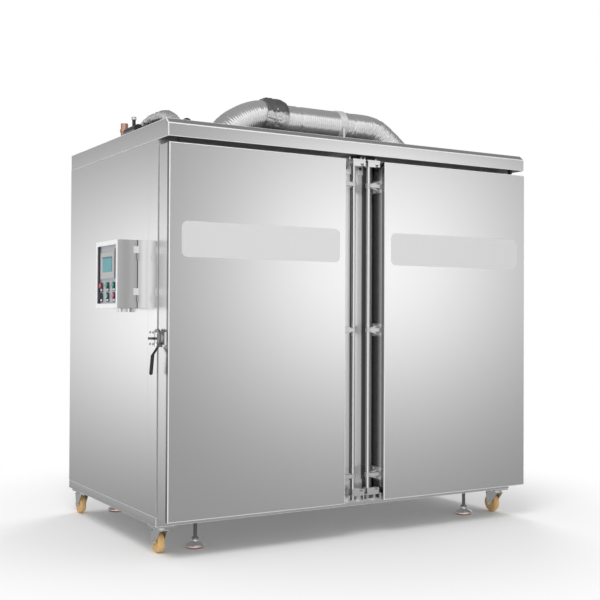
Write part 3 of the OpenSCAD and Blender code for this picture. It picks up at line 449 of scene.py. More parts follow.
def softened(node, material, width, segments=2, pick=None, alter=None, highlight_finish=None):
    """Piece standing for a CAD node, with the node's own shape and rounded edges, which can carry a painted
    highlight.
    """
    form = bmesh.new()
    form.from_mesh(frame["nodes"][node].data)
    bmesh.ops.remove_doubles(form, verts=form.verts, dist=WELD)
    bmesh.ops.dissolve_limit(form, angle_limit=FLAT_ANGLE, verts=form.verts, edges=form.edges)
    if alter:
        alter(form)
    sharp = [edge for edge in form.edges
             if edge.is_manifold and edge.calc_face_angle(0.0) > SHARP_ANGLE
             and (pick is None or pick(edge))]
    bmesh.ops.bevel(form, geom=sharp, offset=width, offset_type="OFFSET", segments=segments,
                    profile=0.5, affect="EDGES", clamp_overlap=True, material=1 if highlight_finish else -1)
    made = piece(node + "_dressed", form, material, body_of(node), [node])
    if highlight_finish:
        made.data.materials.append(highlight_finish)
    return made


def outer_edges_of(node):
    """Rule that picks the edges between outer corners or rims of a node's box."""
    low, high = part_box(node)

    def rims(vert):
        return sum(min(abs(vert.co[k] - low[k]), abs(vert.co[k] - high[k])) < 1e-5 for k in range(3))

    return lambda edge: all(rims(vert) > 1 for vert in edge.verts)


def painted(made, material, rule):
    """Gives the faces that a rule picks a finish of their own."""
    made.data.materials.append(material)
    for face in made.data.polygons:
        if rule(face):
            face.material_index = len(made.data.materials) - 1


def faces_front(face):
    return face.normal.y < -0.9


def coated(node, material):
    """Gives a CAD node that keeps its shape its finish."""
    mesh = frame["nodes"][node].data
    mesh.materials.clear()
    mesh.materials.append(material)


def block(form, low, high, radius=0.0, segments=2):
    """Box between two corners with all its edges rounded."""
    low, high = Vector(low), Vector(high)
    made = bmesh.ops.create_cube(form, size=1.0)["verts"]
    bmesh.ops.scale(form, vec=high - low, verts=made)
    bmesh.ops.translate(form, vec=(low + high) / 2, verts=made)
    if radius:
        edges = list(dict.fromkeys(edge for vert in made for edge in vert.link_edges))
        bmesh.ops.bevel(form, geom=edges, offset=radius, segments=segments, profile=0.5, affect="EDGES")


def loft(form, rings, hollow=False):
    """Skin through rings of points, with a cap at each end or, if hollow, back to the first ring."""
    rows = [[form.verts.new(point) for point in ring] for ring in rings]
    count = len(rows[0])
    pairs = list(zip(rows, rows[1:]))
    if hollow:
        pairs.append((rows[-1], rows[0]))
    for low, high in pairs:
        for k in range(count):
            form.faces.new((low[k], low[(k + 1) % count], high[(k + 1) % count], high[k]))
    if not hollow:
        form.faces.new(rows[0])
        form.faces.new(rows[-1])


def revolve(form, profile, at, axis, steps=36):
    """Turned shape: a profile of (radius, height) points round an axis from a point."""
    turn = Vector(axis).to_track_quat("Z", "Y")
    rings = []
    for radius, height in profile:
        reach = max(radius, 1e-5)
        rings.append([
            Vector(at) + turn @ Vector((reach * math.cos(w), reach * math.sin(w), height))
            for w in (2 * math.pi * k / steps for k in range(steps))
        ])
    loft(form, rings)


def rounded_plate(form, centre, across, up, out, size, corner, edge=0.0003):
    """Plate with rounded corners lying on a face, its front edge softened."""
    width, height, thick = size
    outline = []
    for turn, (sx, sy) in enumerate(((1, 1), (-1, 1), (-1, -1), (1, -1))):
        for step in range(7):
            w = math.radians(90 * turn + 15 * step)
            outline.append((sx * (width / 2 - corner) + corner * math.cos(w),
                            sy * (height / 2 - corner) + corner * math.sin(w)))
    rings = []
    for inset, depth in ((0, 0), (0, thick - edge), (edge, thick)):
        wide, tall = 1 - 2 * inset / width, 1 - 2 * inset / height
        rings.append([centre + across * (u * wide) + up * (v * tall) + out * depth for u, v in outline])
    loft(form, rings)


def hex_bolt(form, at, axis, width, height):
    """Bolt head with its washer, standing on a face."""
    washer = height * 0.18
    revolve(form, [(0, 0), (width * 0.72, 0), (width * 0.72, washer), (0, washer)], at, axis, 24)
    start = Vector(at) + Vector(axis) * height * 0.18
    revolve(form, [(0, 0), (width * 0.55, 0), (width * 0.55, height * 0.65), (width * 0.46, height * 0.82),
                   (0, height * 0.82)], start, axis, 6)


def pan_screw(form, at, axis, width, height):
    """Low domed screw head with a round recess."""
    r = width / 2
    revolve(form, [(0, 0), (r, 0), (r * 0.96, height * 0.45), (r * 0.7, height * 0.9), (r * 0.34, height),
                   (r * 0.28, height * 0.55), (0, height * 0.5)], at, axis, 24)


def centre_of(node):
    low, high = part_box(node)
    return (low + high) / 2


# Stage

CAMERA_PLACE = (-2.9189, -5.0223, 1.1397)
CAMERA_YAW, CAMERA_PITCH, CAMERA_ROLL = 30.84, 0.785, 0.246
SENSOR_WIDTH = 36
# Soft boxes that the steel mirrors: heading from the front, height, spread in degrees and strength
SOFT_BOXES = (
    (34.7, 2.9, 8.0, 1.50),
    (-154.0, 0.5, 7.5, 1.46),
    (-30.0, 4.0, 28.0, 0.80),
    (-82.0, 4.0, 24.0, 0.60),
    (124.0, 3.0, 14.0, 0.80),
    (32.0, 40.0, 13.0, 0.90),
    (0.0, 46.0, 22.0, 0.50),
    (32.0, -44.0, 13.0, 0.90),
    (0.0, -46.0, 22.0, 0.80),
)
STUDIO_LEVEL, FILL_LEVEL = 0.25, 0.75
# Lamps: name, heading, height in degrees, distance, width and power
LAMPS = (("key_lamp", -42, 48, 6.5, 3.2, 160), ("rim_lamp", 140, 50, 6.5, 3.0, 90))
FLOOR_COLOUR = (0.93, 0.93, 0.93, 1)
SHADOW_REACH, WHITE_REACH = 1.3, 2.6


def heading(azimuth, elevation):
    """Direction from a heading, 0 towards the front and 90 towards the right, and a height."""
    a, e = math.radians(azimuth), math.radians(elevation)
    return Vector((math.sin(a) * math.cos(e), -math.cos(a) * math.cos(e), math.sin(e)))


def studio_world():
    """White to the camera, soft boxes in a grey studio to mirrors, and an even fill elsewhere."""
    world = bpy.data.worlds.new("studio")
    bpy.context.scene.world = world
    world.use_nodes = True
    tree = world.node_tree
    tree.nodes.clear()
    direction = shader_node(tree, "TexCoord").outputs["Generated"]
    level = STUDIO_LEVEL
    for azimuth, elevation, spread, strength in SOFT_BOXES:
        aim = shader_node(tree, "VectorMath", {0: direction, 1: heading(azimuth, elevation)},
                          operation="DOT_PRODUCT").outputs["Value"]
        sharp = 1 / (1 - math.cos(math.radians(spread)))
        fall = shader_node(tree, "Math", {0: aim, 1: sharp, 2: math.log(strength) - sharp},
                           operation="MULTIPLY_ADD").outputs["Value"]
        glow = shader_node(tree, "Math", {0: fall}, operation="EXPONENT").outputs["Value"]
        level = shader_node(tree, "Math", {0: level, 1: glow}, operation="ADD").outputs["Value"]
    ray = shader_node(tree, "LightPath")
    seen = FILL_LEVEL
    for kind, brightness in (("Is Glossy Ray", level), ("Is Transmission Ray", 1.0), ("Is Camera Ray", 1.0)):
        seen = shader_node(tree, "Mix", {"Factor": ray.outputs[kind], "A": seen, "B": brightness},
                           data_type="FLOAT").outputs["Result"]
    background = shader_node(tree, "Background", {"Color": (1, 1, 1, 1), "Strength": seen})
    shader_node(tree, "OutputWorld", {"Surface": background.outputs["Background"]})


def studio_floor():
    """Pale floor that keeps the shadow near the machine and fades to white away from it."""
    made = bpy.data.materials.new("pale_floor")
    made.use_nodes = True
    tree = made.node_tree
    shader = tree.nodes["Principled BSDF"]
    shader.inputs["Base Color"].default_value = FLOOR_COLOUR
    shader.inputs["Roughness"].default_value = 0.85
    shader.inputs["Specular IOR Level"].default_value = 0.1
    place = shader_node(tree, "TexCoord").outputs["Object"]
    reach = shader_node(tree, "VectorMath", {0: place}, operation="LENGTH").outputs["Value"]
    fade = shader_node(tree, "MapRange", {"From Min": SHADOW_REACH, "From Max": WHITE_REACH, "Value": reach},
                       interpolation_type="SMOOTHSTEP").outputs["Result"]
    white = shader_node(tree, "Emission", {"Strength": 1.0}).outputs["Emission"]
    camera_ray = shader_node(tree, "LightPath").outputs["Is Camera Ray"]
    share = shader_node(tree, "Math", {0: camera_ray, 1: fade}, operation="MULTIPLY").outputs["Value"]
    seen = shader_node(tree, "MixShader", {"Fac": share, 1: shader.outputs["BSDF"], 2: white})
    tree.links.new(seen.outputs["Shader"], tree.nodes["Material Output"].inputs["Surface"])
    form = bmesh.new()
    bmesh.ops.create_grid(form, x_segments=8, y_segments=8, size=40)
    mesh = bpy.data.meshes.new("floor")
    form.to_mesh(mesh)
    form.free()
    mesh.materials.append(made)
    floor = linked("floor", mesh)
    floor.visible_glossy = False


def soft_lamp(name, azimuth, elevation, distance, width, power):
    """Area lamp aimed at the machine's middle."""
    data = bpy.data.lights.new(name, "AREA")
    data.shape = "DISK"
    data.size = width
    data.energy = power
    lamp = linked(name, data)
    lamp.location = Vector((0, 0, 1.0)) + heading(azimuth, elevation) * distance
    lamp.rotation_mode = "QUATERNION"
    lamp.rotation_quaternion = heading(azimuth, elevation).to_track_quat("Z", "Y")
    lamp.visible_glossy = False


def photo_camera():
    """Camera at the photograph's view, solved from the corners of the doors and the body."""
    yaw, pitch, roll = (math.radians(a) for a in (CAMERA_YAW, CAMERA_PITCH, CAMERA_ROLL))
    forward = Vector((math.sin(yaw) * math.cos(pitch), math.cos(yaw) * math.cos(pitch), math.sin(pitch)))
    level = Vector((math.cos(yaw), -math.sin(yaw), 0))
    upright = level.cross(forward)
    right = level * math.cos(roll) + upright * math.sin(roll)
    top = upright * math.cos(roll) - level * math.sin(roll)
    turn = Matrix((right, top, -forward)).transposed().to_4x4()
    data = bpy.data.cameras.new("photo_camera")
    data.sensor_width = SENSOR_WIDTH
    data.lens = sizes().lens
    data.clip_start, data.clip_end = 0.05, 200
    camera = linked("photo_camera", data)
    camera.matrix_world = Matrix.Translation(CAMERA_PLACE) @ turn
    bpy.context.scene.camera = camera


class CHILLER_OT_stage(bpy.types.Operator):
    """Camera, studio world, lamps and floor"""

    bl_idname = "chiller.stage"
    bl_label = "Stage"

    def execute(self, context):
        context.scene.view_settings.view_transform = "Standard"
        photo_camera()
        studio_world()
        studio_floor()
        for lamp in LAMPS:
            soft_lamp(*lamp)
        return {"FINISHED"}


# Cabinet

class CHILLER_OT_cabinet(bpy.types.Operator):
    """Panels, front frame, roof, base, liner and insulation"""

    bl_idname = "chiller.cabinet"
    bl_label = "Cabinet"

    BASE_ROUND = 0.0022
    # Switches: distance in from each door's outer edge and back from its front
    SWITCH_IN, SWITCH_BACK = 0.070, 0.044

    def execute(self, context):
        softened("outer_panels", brushed_steel(), PANEL_ROUND)
        front = softened("front_frame", brushed_steel(), sizes().sheet_edge)
        # The front frame's front faces get the post's painted shadows and light
        painted(front, post_steel(), faces_front)
        self.roof()
        # The base's outer edges carry the painted edge highlight
        softened("base_frame", brushed_steel(), self.BASE_ROUND, pick=outer_edges_of("base_frame"),
                 highlight_finish=polished_edge())
        softened("inner_liner", inner_steel(), sizes().sheet_edge)
        coated("insulation", foam())
        self.door_switches()
        return {"FINISHED"}

    def roof(self):
        """Roof cap with a painted highlight on its outer edges and painted shade on its underside."""
        made = softened("roof_cap", brushed_steel(), sizes().roof_edge, 3, outer_edges_of("roof_cap"),
                        highlight_finish=polished_edge())
        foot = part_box("roof_cap")[0].z + 0.001
        painted(made, dull_steel(), lambda face: face.normal.z < -0.95 and face.center.z < foot)

    def door_switches(self):
        """Small black switch blocks under the roof's front edge, one above each door."""
        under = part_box("roof_cap")[0].z
        left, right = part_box("left_door_skin")[0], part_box("right_door_skin")[1]
        y = left.y + self.SWITCH_BACK
        form = bmesh.new()
        for x in (left.x + self.SWITCH_IN, right.x - self.SWITCH_IN):
            block(form, (x - 0.007, y - 0.012, under - 0.019), (x + 0.007, y + 0.012, under), 0.0015)
            revolve(form, [(0, 0), (0.0045, 0), (0.0045, 0.004), (0.003, 0.006), (0, 0.006)],
                    (x, y, under - 0.0185), -Z, 16)
        piece("door_switches", form, black_plastic(), "cabinet")


# Doors

def hinge_edge(side):
    """Place across of the door edge that carries the hinges."""
    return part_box(side + "_door_skin")[1 if side == "left" else 0].x


class CHILLER_OT_doors(bpy.types.Operator):
    """Door pans, inner pans, cores, gaskets and bare nameplates"""

    bl_idname = "chiller.doors"
    bl_label = "Doors"

    GASKET_ROUND = 0.003
    # Distance of each nameplate from its door's outer edge and foot, and the radius of its corners
    PLATE_IN = {"left": 0.063, "right": 0.058}
    PLATE_UP = {"left": 1.221, "right": 1.216}
    PLATE_CORNER = 0.03

    def execute(self, context):
        for side in ("left", "right"):
            self.front_pan(side)
            self.inner_pan(side)
            coated(side + "_door_core", foam())
            softened(side + "_door_gasket", seal_rubber(), self.GASKET_ROUND, 3)
            self.nameplate(side)
        return {"FINISHED"}

    def inner_pan(self, side):
        """Inner pan with painted shade on its side towards the hinges."""
        pan = softened(side + "_door_liner", inner_steel(), sizes().sheet_edge)
        hinges = hinge_edge(side)
        painted(pan, pan_side(),
                lambda face: abs(face.normal.x) > 0.9 and abs(face.center.x - hinges) < 0.05)

    def front_pan(self, side):
        """Front pan with a painted highlight on its front edges and painted shade on its rim, which leans in
        at its back.
        """
        low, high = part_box(side + "_door_skin")
        middle = (low + high) / 2
        slant, fold = sizes().rim_slant, sizes().pan_edge

        def lean(form):
            for vert in form.verts:
                share = (vert.co.y - low.y) / (high.y - low.y)
                for axis in (0, 2):
                    vert.co[axis] -= math.copysign(slant * share, vert.co[axis] - middle[axis])

        def on_front(edge):
            return all(vert.co.y < low.y + 1e-5 for vert in edge.verts)

        made = softened(side + "_door_skin", brushed_steel(), fold, 3, on_front, lean, polished_edge())
        # The pan's rim faces get the painted shade
        painted(made, rim_steel(), lambda face: abs(face.normal.y) < 0.2 and face.center.y > low.y + fold)

    def nameplate(self, side):
        """Bare plate near the top of a door."""
        low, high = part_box(side + "_door_skin")
        width, height = getattr(sizes(), "plate_" + side), sizes().plate_height
        left = low.x + self.PLATE_IN[side] if side == "left" else high.x - self.PLATE_IN[side] - width
        centre = Vector((left + width / 2, low.y, low.z + self.PLATE_UP[side] + height / 2))
        form = bmesh.new()
        rounded_plate(form, centre, X, Z, -Y, (width, height, sizes().plate_proud), self.PLATE_CORNER)
        piece(side + "_nameplate", form, bare_plate(), side + "_door")


# Hinges

class CHILLER_OT_hinges(bpy.types.Operator):
    """Hinge rods, brackets with their bolts, carriers and bearing blocks"""

    bl_idname = "chiller.hinges"
    bl_label = "Hinges"

    ROD_CHAMFER = 0.0015
    # Half a bracket's height, its thickness, and its bolts' distance from its middle and the rod's axis
    BRACKET_HALF, BRACKET_THICK, BOLT_RISE = 0.0325, 0.003, 0.021
    ROD_RADIUS, BOLT_BACK = 0.010, 0.050
    # Carrier bolts: pitch, distance before the carriers' back, and height from the foot and the head
    CARRIER_PITCH, CARRIER_DEEP, BOLT_FOOT, BOLT_HEAD = 0.046, 0.0082, 0.030, 0.052

    def execute(self, context):
        supports = softened("hinge_supports", brushed_steel(), PANEL_ROUND)
        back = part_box("hinge_supports")[1].y - 0.02
        # The supports' front faces at their back get the post's painted shadows and light
        painted(supports, post_steel(), lambda face: faces_front(face) and face.center.y > back)
        for side in ("left", "right"):
            self.rod(side)
            softened(side + "_hinge_brackets", casting(), THICK_ROUND)
            self.bracket_bolts(side)
        self.carrier_bolts()
        return {"FINISHED"}

    def rod(self, side):
        """Polished rod with chamfered ends."""
        low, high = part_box(side + "_hinge_rod")
        r, length, end = (high.x - low.x) / 2, high.z - low.z, self.ROD_CHAMFER
        form = bmesh.new()
        revolve(form, [(0, 0), (r - end, 0), (r, end), (r, length - end), (r - end, length), (0, length)],
                (low.x + r, low.y + r, low.z), Z, 48)
        piece(side + "_rod", form, bright_steel(), side + "_door", [side + "_hinge_rod"])

    def bracket_bolts(self, side):
        """Two bolts through each bracket into the door's side."""
        low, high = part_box(side + "_hinge_brackets")
        first, last = low.z + self.BRACKET_HALF, high.z - self.BRACKET_HALF
        out = X if side == "left" else -X
        x = hinge_edge(side) + out.x * self.BRACKET_THICK
        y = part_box(side + "_hinge_rod")[0].y + self.ROD_RADIUS + self.BOLT_BACK
        form = bmesh.new()
        for step in range(3):
            z = first + (last - first) * step / 2
            for rise in (-self.BOLT_RISE, self.BOLT_RISE):
                hex_bolt(form, (x, y, z + rise), out, 0.012, 0.007)
        piece(side + "_bracket_bolts", form, bright_steel(), side + "_door")

    def carrier_bolts(self):
        """Dark bolts in the carriers above and below the rods."""
        low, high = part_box("hinge_supports")
        y = high.y - self.CARRIER_DEEP
        form = bmesh.new()
        for side in ("left", "right"):
            rod = centre_of(side + "_hinge_rod")
            for z in (low.z + self.BOLT_FOOT, high.z - self.BOLT_HEAD):
                for x in (rod.x, rod.x + self.CARRIER_PITCH):
                    hex_bolt(form, (x, y, z), -Y, 0.011, 0.006)
        piece("carrier_bolts", form, dark_bolt(), "cabinet")


# Latches

class CHILLER_OT_latches(bpy.types.Operator):
    """Latch plates, levers with their claws, and strikes"""

    bl_idname = "chiller.latches"
    bl_label = "Latches"

    # Height of a lever's grey part, and length of the pins at the strikes' outer ends
    GREY_HEIGHT, PIN_LENGTH = 0.090, 0.0138

    def execute(self, context):
        for side in ("left", "right"):
            softened(side + "_latch_plate", bright_steel(), SMALL_ROUND)
            self.lever(side)
        low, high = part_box("latch_strikes")
        strikes = softened("latch_strikes", brushed_steel(), LEVER_ROUND)
        inside, outside = low.x + self.PIN_LENGTH, high.x - self.PIN_LENGTH
        painted(strikes, dark_bolt(), lambda face: not inside < face.center.x < outside)
        self.screws()
        return {"FINISHED"}

    def lever(self, side):
        """Grey claw and pivot with a black grip below them."""
        lever = softened(side + "_latch_lever", claw_grey(), LEVER_ROUND)
        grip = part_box(side + "_latch_lever")[1].z - self.GREY_HEIGHT
        painted(lever, black_lacquer(), lambda face: face.center.z < grip)

    def screws(self):
        """Four screws through each strike."""
        low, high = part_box("latch_strikes")
        form = bmesh.new()
        for x, out in ((low.x + 0.014, -X), (high.x - 0.014, X)):
            for y in (low.y + 0.029, low.y + 0.064):
                for z in (low.z + 0.010, high.z - 0.010):
                    pan_screw(form, (x, y, z), out, 0.011, 0.004)
        piece("strike_screws", form, zinc_plate(), "cabinet")


# Control box

class CHILLER_OT_control_box(bpy.types.Operator):
    """Box, cover, panel, display and lock"""

    bl_idname = "chiller.control_box"
    bl_label = "Control box"

    # The cover's box also holds its knuckles, at the front, and its stud, below
    KNUCKLE_DEEP, STUD_LONG, COVER_DEEP = 0.0115, 0.019, 0.102
    BEZEL_SIZE, BEZEL_CORNER = (0.186, 0.128, 0.0008), 0.006
    SCREEN_SIZE, SCREEN_CORNER = (0.126, 0.067, 0.0006), 0.002
    # Thickness of the strips of painted shade at the screen's top and side
    SHADE_STRIP_PROUD = 0.0010
    # Height of the display's middle above the buttons', and of the screen's above the display's
    DISPLAY_UP, SCREEN_UP = 0.096, 0.0025

    def execute(self, context):
        # Box and cover sides carry painted light towards the front and painted shade at the seam
        softened("control_box_base", cover_steel(), SHEET_ROUND)
        cover = softened("control_box_cover", cover_steel(), SHEET_ROUND)
        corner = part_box("control_box_cover")[0]
        front, knuckles = corner.x + 0.0015, corner.y + 0.0110
        painted(cover, white_paint(), lambda face: face.center.x < front)
        painted(cover, bright_steel(), lambda face: face.center.x >= front and face.center.y < knuckles)
        softened("control_panel", panel_grey(), SMALL_ROUND)
        softened("control_modules", module_grey(), THICK_ROUND)
        softened("cover_lock", black_plastic(), SMALL_ROUND)
        self.seal()
        self.window_lining()
        self.display()
        return {"FINISHED"}

    def window_lining(self):
        """Black strips at both sides of the window, between the cover's face and the panel, standing in as
        painted shade in the window's recess.
        """
        low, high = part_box("control_box_cover")
        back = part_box("control_panel")[0].x + 0.0062
        display = centre_of("start_button").z + self.DISPLAY_UP
        form = bmesh.new()
        block(form, (low.x + 0.0018, high.y - 0.0317, low.z + 0.0415),
              (back, high.y - 0.0222, high.z - 0.0235), 0.0004)
        block(form, (low.x + 0.0004, low.y + 0.0330, display - 0.064),
              (back, low.y + 0.0510, display + 0.078), 0.0004)
        piece("window_lining", form, black_plastic(), "control_cover")

    def seal(self):
        """Dark seal that shows all round between the box and its cover."""
        low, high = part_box("control_box_cover")
        low, seam = low + Vector((0, self.KNUCKLE_DEEP, self.STUD_LONG)), low.x + self.COVER_DEEP
        rings = []
        for x, grow in ((-0.0030, -0.0020), (-0.0030, 0.0006), (0.0004, 0.0006), (0.0004, -0.0020)):
            rings.append([
                Vector((seam + x, y, z))
                for y, z in ((low.y - grow, low.z - grow), (high.y + grow, low.z - grow),
                             (high.y + grow, high.z + grow), (low.y - grow, high.z + grow))
            ])
        form = bmesh.new()
        loft(form, rings, hollow=True)
        piece("cover_seal", form, seal_black(), "control_cover")

    def display(self):
        """Bezel and screen in front of the panel, with thin strips of painted shade at the screen's top and
        side.
        """
        middle = centre_of("start_button")
        centre = Vector((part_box("control_panel")[0].x, middle.y, middle.z + self.DISPLAY_UP))
        form = bmesh.new()
        rounded_plate(form, centre, Y, Z, -X, self.BEZEL_SIZE, self.BEZEL_CORNER)
        piece("display_bezel", form, bezel_grey(), "control_cover")
        screen = centre + Vector((-self.BEZEL_SIZE[2], 0, self.SCREEN_UP))
        form = bmesh.new()
        rounded_plate(form, screen, Y, Z, -X, self.SCREEN_SIZE, self.SCREEN_CORNER)
        piece("display_screen", form, display_screen(), "control_cover")
        form = bmesh.new()
        rounded_plate(form, screen + Vector((0, 0, 0.0365)), Y, Z, -X, (0.132, 0.007, self.SHADE_STRIP_PROUD), 0.001)
        rounded_plate(form, screen - Vector((0, 0.065, 0)), Y, Z, -X, (0.006, 0.066, self.SHADE_STRIP_PROUD), 0.001)
        piece("display_rim", form, screen_rim(), "control_cover")


# Devices

CAP_COLOUR = {
    "stop_button": "red", "start_button": "green", "reset_button": "green",
    "fan_selector": "pale_green", "alarm_button": "pink",
}


def round_device(node):
    """Box, centre and radius of a round control device."""
    low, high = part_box(node)
    return low, high, (low + high) / 2, (high.z - low.z) / 2


class CHILLER_OT_devices(bpy.types.Operator):
    """Push buttons, selectors, their collars and bare label tags"""

    bl_idname = "chiller.devices"
    bl_label = "Control devices"

    PANEL_SET_BACK = 0.006
    BASE_SIZE, TAG_SIZE = (0.032, 0.026, 0.004), (0.022, 0.0095, 0.0008)

    def execute(self, context):
        collars, tags = bmesh.new(), bmesh.new()
        for node in ("stop_button", "start_button", "reset_button", "alarm_button"):
            self.button(node)
            self.surround(node, collars, tags)
        softened("mode_selector", black_plastic(), SMALL_ROUND)
        softened("fan_selector", button_plastic(CAP_COLOUR["fan_selector"]), SMALL_ROUND)
        for node in ("mode_selector", "fan_selector"):
            self.surround(node, collars, tags)
        piece("device_collars", collars, black_plastic(), "control_cover")
        piece("device_labels", tags, white_label(), "control_cover")
        return {"FINISHED"}

    def button(self, node):
        """Push-button cap with a dished face."""
        low, high, centre, r = round_device(node)
        form = bmesh.new()
        revolve(form, [(0, 0), (r * 0.55, 0.0002), (r - 0.002, 0.0012), (r, 0.003), (r, 0.0090),
                       (r - 0.0015, 0.0095), (r - 0.0015, high.x - low.x), (0, high.x - low.x)],
                (low.x, centre.y, centre.z), X, 40)
        piece(node + "_cap", form, button_plastic(CAP_COLOUR[node]), body_of(node), [node])

    def surround(self, node, collars, tags):
        """Collar round a device, its base below and a bare tag on that."""
        centre, r = round_device(node)[2:]
        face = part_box("control_panel")[0].x + self.PANEL_SET_BACK
        revolve(collars, [(r + 0.0004, 0), (r + 0.0040, 0), (r + 0.0036, 0.0090), (r + 0.0025, 0.0100),
                          (r + 0.0004, 0.0100), (r + 0.0004, 0)], (face, centre.y, centre.z), -X, 40)
        base = Vector((face, centre.y, centre.z - r - 0.004))
        tag = Vector((face - self.BASE_SIZE[2], centre.y, centre.z - r - 0.0085))
        rounded_plate(collars, base, Y, Z, -X, self.BASE_SIZE, 0.003)
        rounded_plate(tags, tag, Y, Z, -X, self.TAG_SIZE, 0.001)


# Ducts

def along(route, s, point, turn):
    """Place and heading in radians at a length along a route of (length, turn in degrees) stretches."""
    for length, bend in route:
        step = min(s, length)
        s -= step
        swing = math.radians(bend) * step / length
        if bend:
            r = length / math.radians(bend)
            move = Vector((r * (math.sin(turn + swing) - math.sin(turn)),
                           r * (math.cos(turn) - math.cos(turn + swing))))
        else:
            move = Vector((step * math.cos(turn), step * math.sin(turn)))
        point, turn = point + move, turn + swing
    return point, turn


def crumple(point, scale):
    """Ridged noise from 0 to 1 that folds foil into creases."""
    first = 1 - abs(noise.noise(point * scale))
    second = 1 - abs(noise.noise(point * scale * 2.3 + Vector((7, 3, 5))))
    return (first * 0.65 + second * 0.35) ** 3


def spokes(up, side, count):
    """Directions all the way round, from up towards side."""
    return [up * math.cos(w) + side * math.sin(w) for w in (2 * math.pi * k / count for k in range(count))]


def between(stations, t):
    """Values at a share of the length, worked out from the stations at both sides of it."""
    for first, last in zip(stations, stations[1:]):
        if first[0] <= t <= last[0]:
            share = (t - first[0]) / (last[0] - first[0])
            found = [low + (high - low) * share for low, high in zip(first[1:], last[1:])]
    return found


